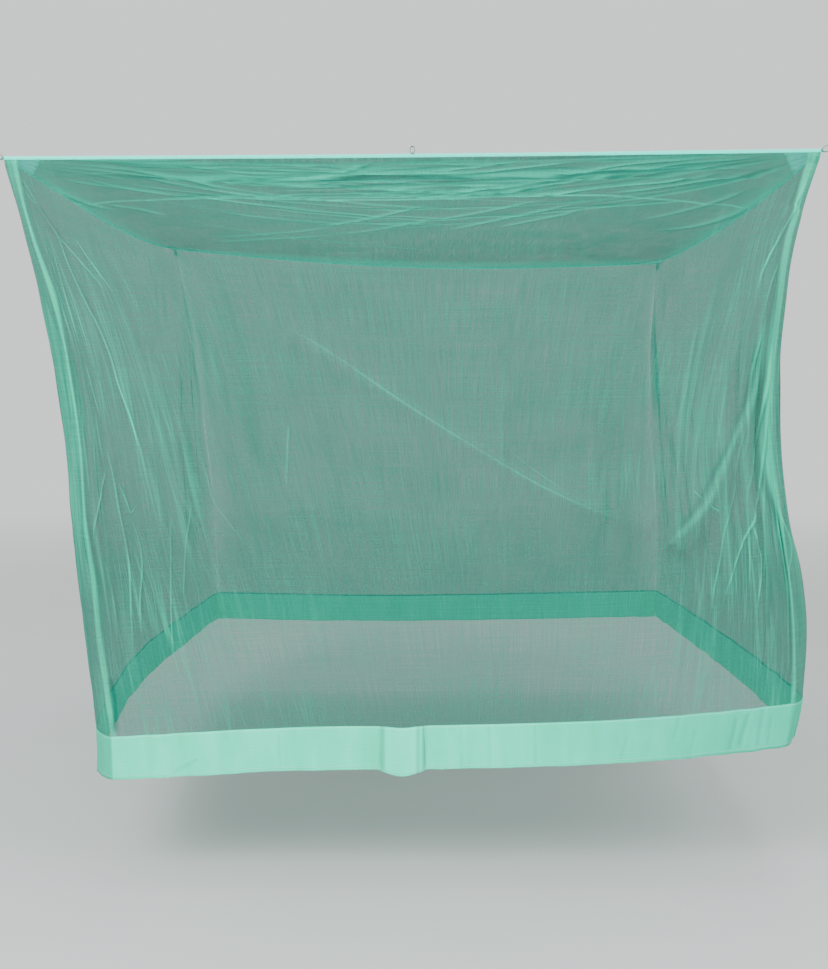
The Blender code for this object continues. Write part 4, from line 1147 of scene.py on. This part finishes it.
def addBorder(side, material):
    line, layers = borderLine(side)
    path = line[:, :2].copy()
    if side == "front":
        path[:, 1] -= layers * border["pleatStep"]
    run = np.append(0, np.cumsum(np.hypot(*(path[1:] - path[:-1]).T)))
    even = np.linspace(0, run[-1], border["columns"] + 1)
    x, y = (np.interp(even, run, path[:, k]) for k in range(2))
    z = np.interp(even, run, line[:, 2])
    layer = np.interp(even, run, layers)
    height = np.full(len(even), border["height"])
    if side == "front":
        z = z - pleatDip(x, border["topDip"])
        height = height + pleatDip(x, border["hemDip"] - border["topDip"])
    down = np.linspace(0, 1, border["rows"] + 1)
    top = np.stack([x, y, z], -1)[:, None, :]
    points = np.repeat(top, len(down), axis=1)
    points[..., 2] -= height[:, None] * down
    # the pleat is sewn flat at the seam and opens towards the hem
    points[..., 1] += (layer * border["pleatStep"])[:, None] * (1 - border["sewnFlat"]) * (1 - down) ** 1.5
    sign, seed = border["signs"][side], border["seeds"][side]
    away = outward(points, sign)
    away[..., 2] = 0
    share = np.repeat((even / run[-1])[:, None], len(down), axis=1)
    depth = np.repeat(down[None, :], len(even), axis=0)
    folds = Folds(points[..., 0 if side in ("front", "back") else 1], depth * border["height"])
    wave = (border["wave"] * uneven(share, depth, 22, 2, seed) * depth
            + border["crinkle"] * uneven(share, depth, 90, 4, seed + 9))
    if side == "front":
        for crease, width, shine, shadow in border["creases"]:
            hung = [(a, b * border["height"]) for a, b in crease]
            folds.crease(hung, width, border["creaseLift"], shine, shadow, 0.05, 0.05)
        hidden = ((layer > 0.1) & (layer < 1.9))[:, None] + 0 * depth
        wave = wave * (1 - hidden * 0.9)
        # painted shade on the layers hidden inside the pleat
        folds.paintedShade = np.maximum(folds.paintedShade, hidden * border["inPleat"])
        # painted shade at the pleat's two edges
        pleatEdge = sum(bell(x - border[edge], border["pleatShadeHalf"])
                        for edge in ("pleatLeft", "pleatRight"))
        folds.paintedShade = np.maximum(folds.paintedShade, (border["pleatShade"] * pleatEdge)[:, None] + 0 * depth)
        # painted highlight on the pleat's outer panel
        folds.addPaintedHighlight((border["onPleat"] * smooth((layer - 1.8) / 0.2))[:, None] + 0 * depth)
        for place, width, dark, light in border["pleatLines"]:
            mark = (bell(x - place, width) * (layer > 1.8))[:, None] + 0 * depth
            folds.paintedShade = np.maximum(folds.paintedShade, dark * mark)
            folds.addPaintedHighlight(light * mark)
        # painted shade round the corners and towards the right
        left, right = frontCorners[-1][2], frontCorners[-1][3]
        paintedShadeRamp = 0.72 * smooth((left + 0.001 - x) / 0.004) + 0.08 * smooth((left - 0.02 - x) / 0.02)
        paintedShadeRamp += 0.26 * smooth((x - right) / 0.01) + 0.55 * smooth((x - 0.15) / 0.75)
        folds.paintedShade = laidOver(folds.paintedShade, np.clip(paintedShadeRamp, 0, 1)[:, None])
    else:
        dice = np.random.default_rng(seed)
        for _ in range(border["chanceCount"]):
            place, lean = dice.uniform(0.1, 1.85), dice.normal(0, 0.02)
            place -= 0.99 if side == "back" else 0
            folds.crease([(place, 0.0), (place + lean, border["height"])], dice.uniform(0.002, 0.004),
                         border["chanceLift"], border["chanceShine"], 0.9, 0.05, 0.05)
    # at the seam it lies close along the netting
    relief = (wave + folds.lift) * smooth(depth / border["seamFade"])
    points += away * (border["standsOut"] + relief)[..., None]
    hemWave = (border["hemWave"] * uneven(share, depth, 40, 1, seed + 3)
               + border["hemWaveWide"] * uneven(share, depth, 17, 1, seed + 4))
    points[..., 2] += hemWave * depth
    # the right front corner is drawn in towards its hem
    if side in ("front", "right"):
        inFront = smooth((points[..., 0] - 0.94) / 0.05)
        atSide = np.exp(-(points[..., 1] - 0.07) / 0.1)
        points[..., 0] -= border["drawnIn"] * (inFront if side == "front" else atSide) * depth ** 1.3
    sheet = layGrid(side + "Border", points, (run[-1], border["height"]), folds.painted(), flip=sign < 0)
    finishSheet(sheet, material, ["border_" + side], border["cloth"])
    return sheet


# the edge tape: a narrow strip folded over the top edges

edgeTape = {
    "columns": 420, "round": 18, "cut": (1.98, 0.022), "sideLap": 0.0003, "square": 0.62,
    "waver": 0.0005, "slimmer": 0.1, "stitchUp": 0.0022, "stitchHalf": 0.0007, "mergeWithin": 0.00001,
    "seeds": {"front": 91, "back": 92, "left": 93, "right": 94},
}


def addTape(side, material):
    runsBack = side in ("left", "right")
    along = np.linspace(0, 1, edgeTape["columns"] + 1)
    x, y, z = edgePoint(side, along)
    center = np.stack([x, y + 0 * x, z - tapeHeight / 2], -1)
    ends = -(tapeThick / 2 + edgeTape["sideLap"]) if runsBack else tapeThick / 2
    forward = np.array([0, 1, 0]) if runsBack else np.array([1, 0, 0])
    across = np.array([1, 0, 0]) if runsBack else np.array([0, 1, 0])
    center[0] -= forward * ends
    center[-1] += forward * ends
    seed, square = edgeTape["seeds"][side], edgeTape["square"]
    # the section: flat sides, a round folded top, and the two cut edges below
    turn = np.linspace(0, 2 * math.pi, edgeTape["round"] + 1)
    sideways = np.sign(np.sin(turn)) * np.abs(np.sin(turn)) ** square * tapeThick / 2
    upward = -np.sign(np.cos(turn)) * np.abs(np.cos(turn)) ** square * tapeHeight / 2
    share = np.repeat(along[:, None], len(turn), axis=1)
    waver = edgeTape["waver"] * uneven(share, 0 * share, 60, 1, seed)
    slim = 1 - edgeTape["slimmer"] * (0.5 + 0.5 * uneven(share, 0 * share, 130, 1, seed + 5))
    points = (center[:, None, :] + across * (sideways * slim + waver)[..., None]
              + np.array([0, 0, 1]) * (upward * slim)[..., None])
    row = bell(upward + tapeHeight / 2 - edgeTape["stitchUp"], edgeTape["stitchHalf"])
    tape = layGrid(side + "EdgeTape", points, edgeTape["cut"], {"stitchRow": row + 0 * share})
    mendSeams(tape, edgeTape["mergeWithin"], openEnds=True)
    finishSheet(tape, material, ["edge_tape_" + side])
    return tape


# corner patches: small triangles of border cloth under the roof's corners

patch = {
    "columns": 36, "rows": 36, "cloth": 0.0008, "cut": (0.2, 0.09), "below": 0.0012, "rolled": 0.0016,
    "wave": 0.0012, "mergeWithin": 0.00002,
    # name: across at the corner and inwards, y at the corner and along the side
    "corners": {"front_left": (0.0, 0.0455, 0.0, 0.205), "front_right": (1.0, 0.9545, 0.0, 0.205),
                "back_left": (0.0, 0.0448, 1.98, 1.775), "back_right": (1.0, 0.9552, 1.98, 1.775)},
}


def addPatch(place, material):
    acrossCorner, acrossIn, yCorner, yIn = patch["corners"][place]
    s, t = np.meshgrid(np.linspace(0, 1, patch["columns"] + 1), np.linspace(0, 1, patch["rows"] + 1),
                       indexing="ij")
    # t runs from the corner to the long cut edge, s along that edge
    across = mix(acrossCorner, acrossIn, t * (1 - s))
    y = mix(yCorner, yIn, t * s)
    points = roofPoint(across, y)
    seed = 101 + sorted(patch["corners"]).index(place)
    points[..., 2] -= patch["below"] + patch["rolled"] * smooth((t - 0.9) / 0.1)
    points[..., 2] -= patch["wave"] * (uneven(s, t, 14, 2, seed) + 1) * t * (1 - t) * 3
    crossing = np.sin(s * 26 + 2 * uneven(s, t, 5, 3, seed + 4))
    # painted highlight and shade on the crossing wrinkles, and painted shade along the rolled cut edge
    ridgeHighlight = 0.5 * np.clip(crossing, 0, 1) * t
    paintedShade = 0.5 * np.clip(-crossing, 0, 1) * t + 0.5 * smooth((t - 0.92) / 0.05)
    name = "cornerPatch" + place.title().replace("_", "")
    piece = layGrid(name, points, patch["cut"], {"ridgeHighlight": ridgeHighlight, "paintedShade": paintedShade})
    # the corner end of the grid is one point
    mendSeams(piece, patch["mergeWithin"])
    finishSheet(piece, material, ["corner_patch_" + place], patch["cloth"])
    return piece


# hanging loops of narrow woven tape

loop = {
    "length": 0.032, "height": 0.015, "tape": 0.0014, "width": 0.009, "tilt": 20.0, "around": 72, "wide": 8,
    "frontWidth": 0.012, "frontHeight": 0.018, "frontTape": 0.0013, "frontDepth": 0.008,
    "cutLength": 0.08, "dish": 0.0006, "pinch": 0.18, "stitchAt": 0.38, "stitchHalf": 0.05,
    "mergeWithin": 0.00002,
    # where the corner loops hang: corner, edge, which end of it, side
    "corners": (("front_left", "front", "start", -1), ("front_right", "front", "end", 1),
                ("back_left", "back", "start", -1), ("back_right", "back", "end", 1)),
}


def addLoop(name, center, halfLong, halfHigh, width, tilt, tape, material, replaced):
    tilt = math.radians(tilt)
    longAxis = np.array([math.cos(tilt), 0, math.sin(tilt)])
    highAxis = np.array([-math.sin(tilt), 0, math.cos(tilt)])
    turn, across = np.meshgrid(np.linspace(0, 2 * math.pi, loop["around"] + 1),
                               np.linspace(-0.5, 0.5, loop["wide"] + 1), indexing="ij")
    dish = loop["dish"] * (1 - (2 * across) ** 2)
    pinch = 1 - loop["pinch"] * np.sin(turn) ** 2
    points = (np.array(center) + longAxis * ((halfLong - tape / 2 + dish) * np.cos(turn))[..., None]
              + highAxis * ((halfHigh - tape / 2 + dish) * np.sin(turn))[..., None]
              + np.array([0, 1, 0]) * (across * width * pinch)[..., None])
    rim = bell(np.abs(across) - loop["stitchAt"], loop["stitchHalf"])
    ring = layGrid(name, points, (loop["cutLength"], width), {"stitchRow": rim})
    mendSeams(ring, loop["mergeWithin"])
    finishSheet(ring, material, [replaced], tape)
    return ring


def addLoops(material):
    halfLong, halfHigh = loop["length"] / 2, loop["height"] / 2
    tilt = math.radians(loop["tilt"])
    reach = math.hypot(halfLong * math.cos(tilt), halfHigh * math.sin(tilt))
    made = []
    for place, edge, end, side in loop["corners"]:
        x, y, z = topEdges[edge][end]
        rise = halfLong * math.sin(tilt) - tapeHeight / 2
        center = (x + side * (tapeThick / 2 + reach), y, z + rise)
        name = "hangingLoop" + place.title().replace("_", "")
        made.append(addLoop(name, center, halfLong, halfHigh, loop["width"], side * loop["tilt"],
                            loop["tape"], material, "hanging_loop_" + place))
    center = (0, 0, loop["frontHeight"] / 2)
    made.append(addLoop("hangingLoopFrontMiddle", center, loop["frontHeight"] / 2, loop["frontWidth"] / 2,
                        loop["frontDepth"], 90.0, loop["frontTape"], material, "hanging_loop_front_middle"))
    return made


def addStudio():
    low = cadBounds[0][2] - studio["floorBelowHem"]
    bpy.ops.object.select_all(action="DESELECT")
    bpy.ops.mesh.primitive_circle_add(vertices=96, radius=studio["floorRadius"], fill_type="NGON",
                                      location=(0, 1, low))
    floor = bpy.context.object
    floor.name = "paleFloor"
    look = Look("paleFloor", *studio["floorFinish"])
    place = look.node("ShaderNodeTexCoord", None, None, "Object")
    away = look.node("ShaderNodeVectorMath", {"operation": "LENGTH"}, {0: place}, "Value")
    fading = 1.0 - (away - studio["fadeFrom"]) * (1 / (studio["fadeUntil"] - studio["fadeFrom"]))
    speck = look.node("ShaderNodeTexNoise", None, {"Vector": place, "Scale": 2.0, "Detail": 3.0}, 0)
    look.feed("Alpha", fading.clamped())
    look.feed("Base Color", look.blend(speck, *studio["floorShades"]))
    floor.data.materials.append(look.material)
    world = bpy.data.worlds.new("softSky")
    world.use_nodes = True
    world.node_tree.nodes["Background"].inputs["Color"].default_value = (*studio["backdrop"], 1.0)
    world.node_tree.nodes["Background"].inputs["Strength"].default_value = studio["skyStrength"]
    bpy.context.scene.world = world
    for name, (place, aim, size, watts, spread) in studio["lamps"].items():
        bpy.ops.object.light_add(type="AREA", location=place)
        lamp = bpy.context.object
        lamp.name = name
        lamp.data.energy = watts
        lamp.data.size = size
        lamp.data.spread = math.radians(spread)
        lamp.visible_camera = False
        direction = np.array(aim) - np.array(place)
        flat = math.hypot(direction[0], direction[1])
        heading = math.atan2(direction[1], direction[0])
        lamp.rotation_euler = (math.atan2(flat, -direction[2]), 0, heading - math.pi / 2)


addCamera()
addStudio()
print("camera, floor and lights placed")

frontNetting = makeNetting("frontNetting", "wall", 0.66, 0.34, netting["layers"], 3)
wallNetting = makeNetting("wallNetting", "wall", 0.66, 0.3, 0, 2)
roofNetting = makeNetting("roofNetting", "roof", 0.87, 0.14, 0, 0)
plainBorder = makeBorderCloth("borderCloth", *borderCloth["border"])
patchCloth = makeBorderCloth("patchCloth", *borderCloth["patches"])
mintTape = makeTapeCloth("mintTape", tapeCloth["plain"], tapeCloth["deep"])
loopTape = makeTapeCloth("loopTape", tapeCloth["loopPlain"], tapeCloth["loopDeep"])
print("materials made")

walls = {"front": addFrontWall(frontNetting)}
for side in ("back", "left", "right"):
    walls[side] = addOtherWall(side, wallNetting)
print("walls laid")

narrowRoof = addRoofSheet("narrowRoofNet", roof["narrowRows"], roof["narrowCloth"], roofNetting,
                          ["roof_net_narrow"])
wideRoof = addRoofSheet("wideRoofNet", roof["wideRows"], roof["wideCloth"], roofNetting,
                        ["roof_net_wide"])
print("roof laid")

borders = {side: addBorder(side, plainBorder) for side in ("front", "back", "left", "right")}
tapes = {side: addTape(side, mintTape) for side in ("front", "back", "left", "right")}
patches = {place: addPatch(place, patchCloth) for place in patch["corners"]}
loops = addLoops(loopTape)
print("border, tapes, patches and loops sewn on")
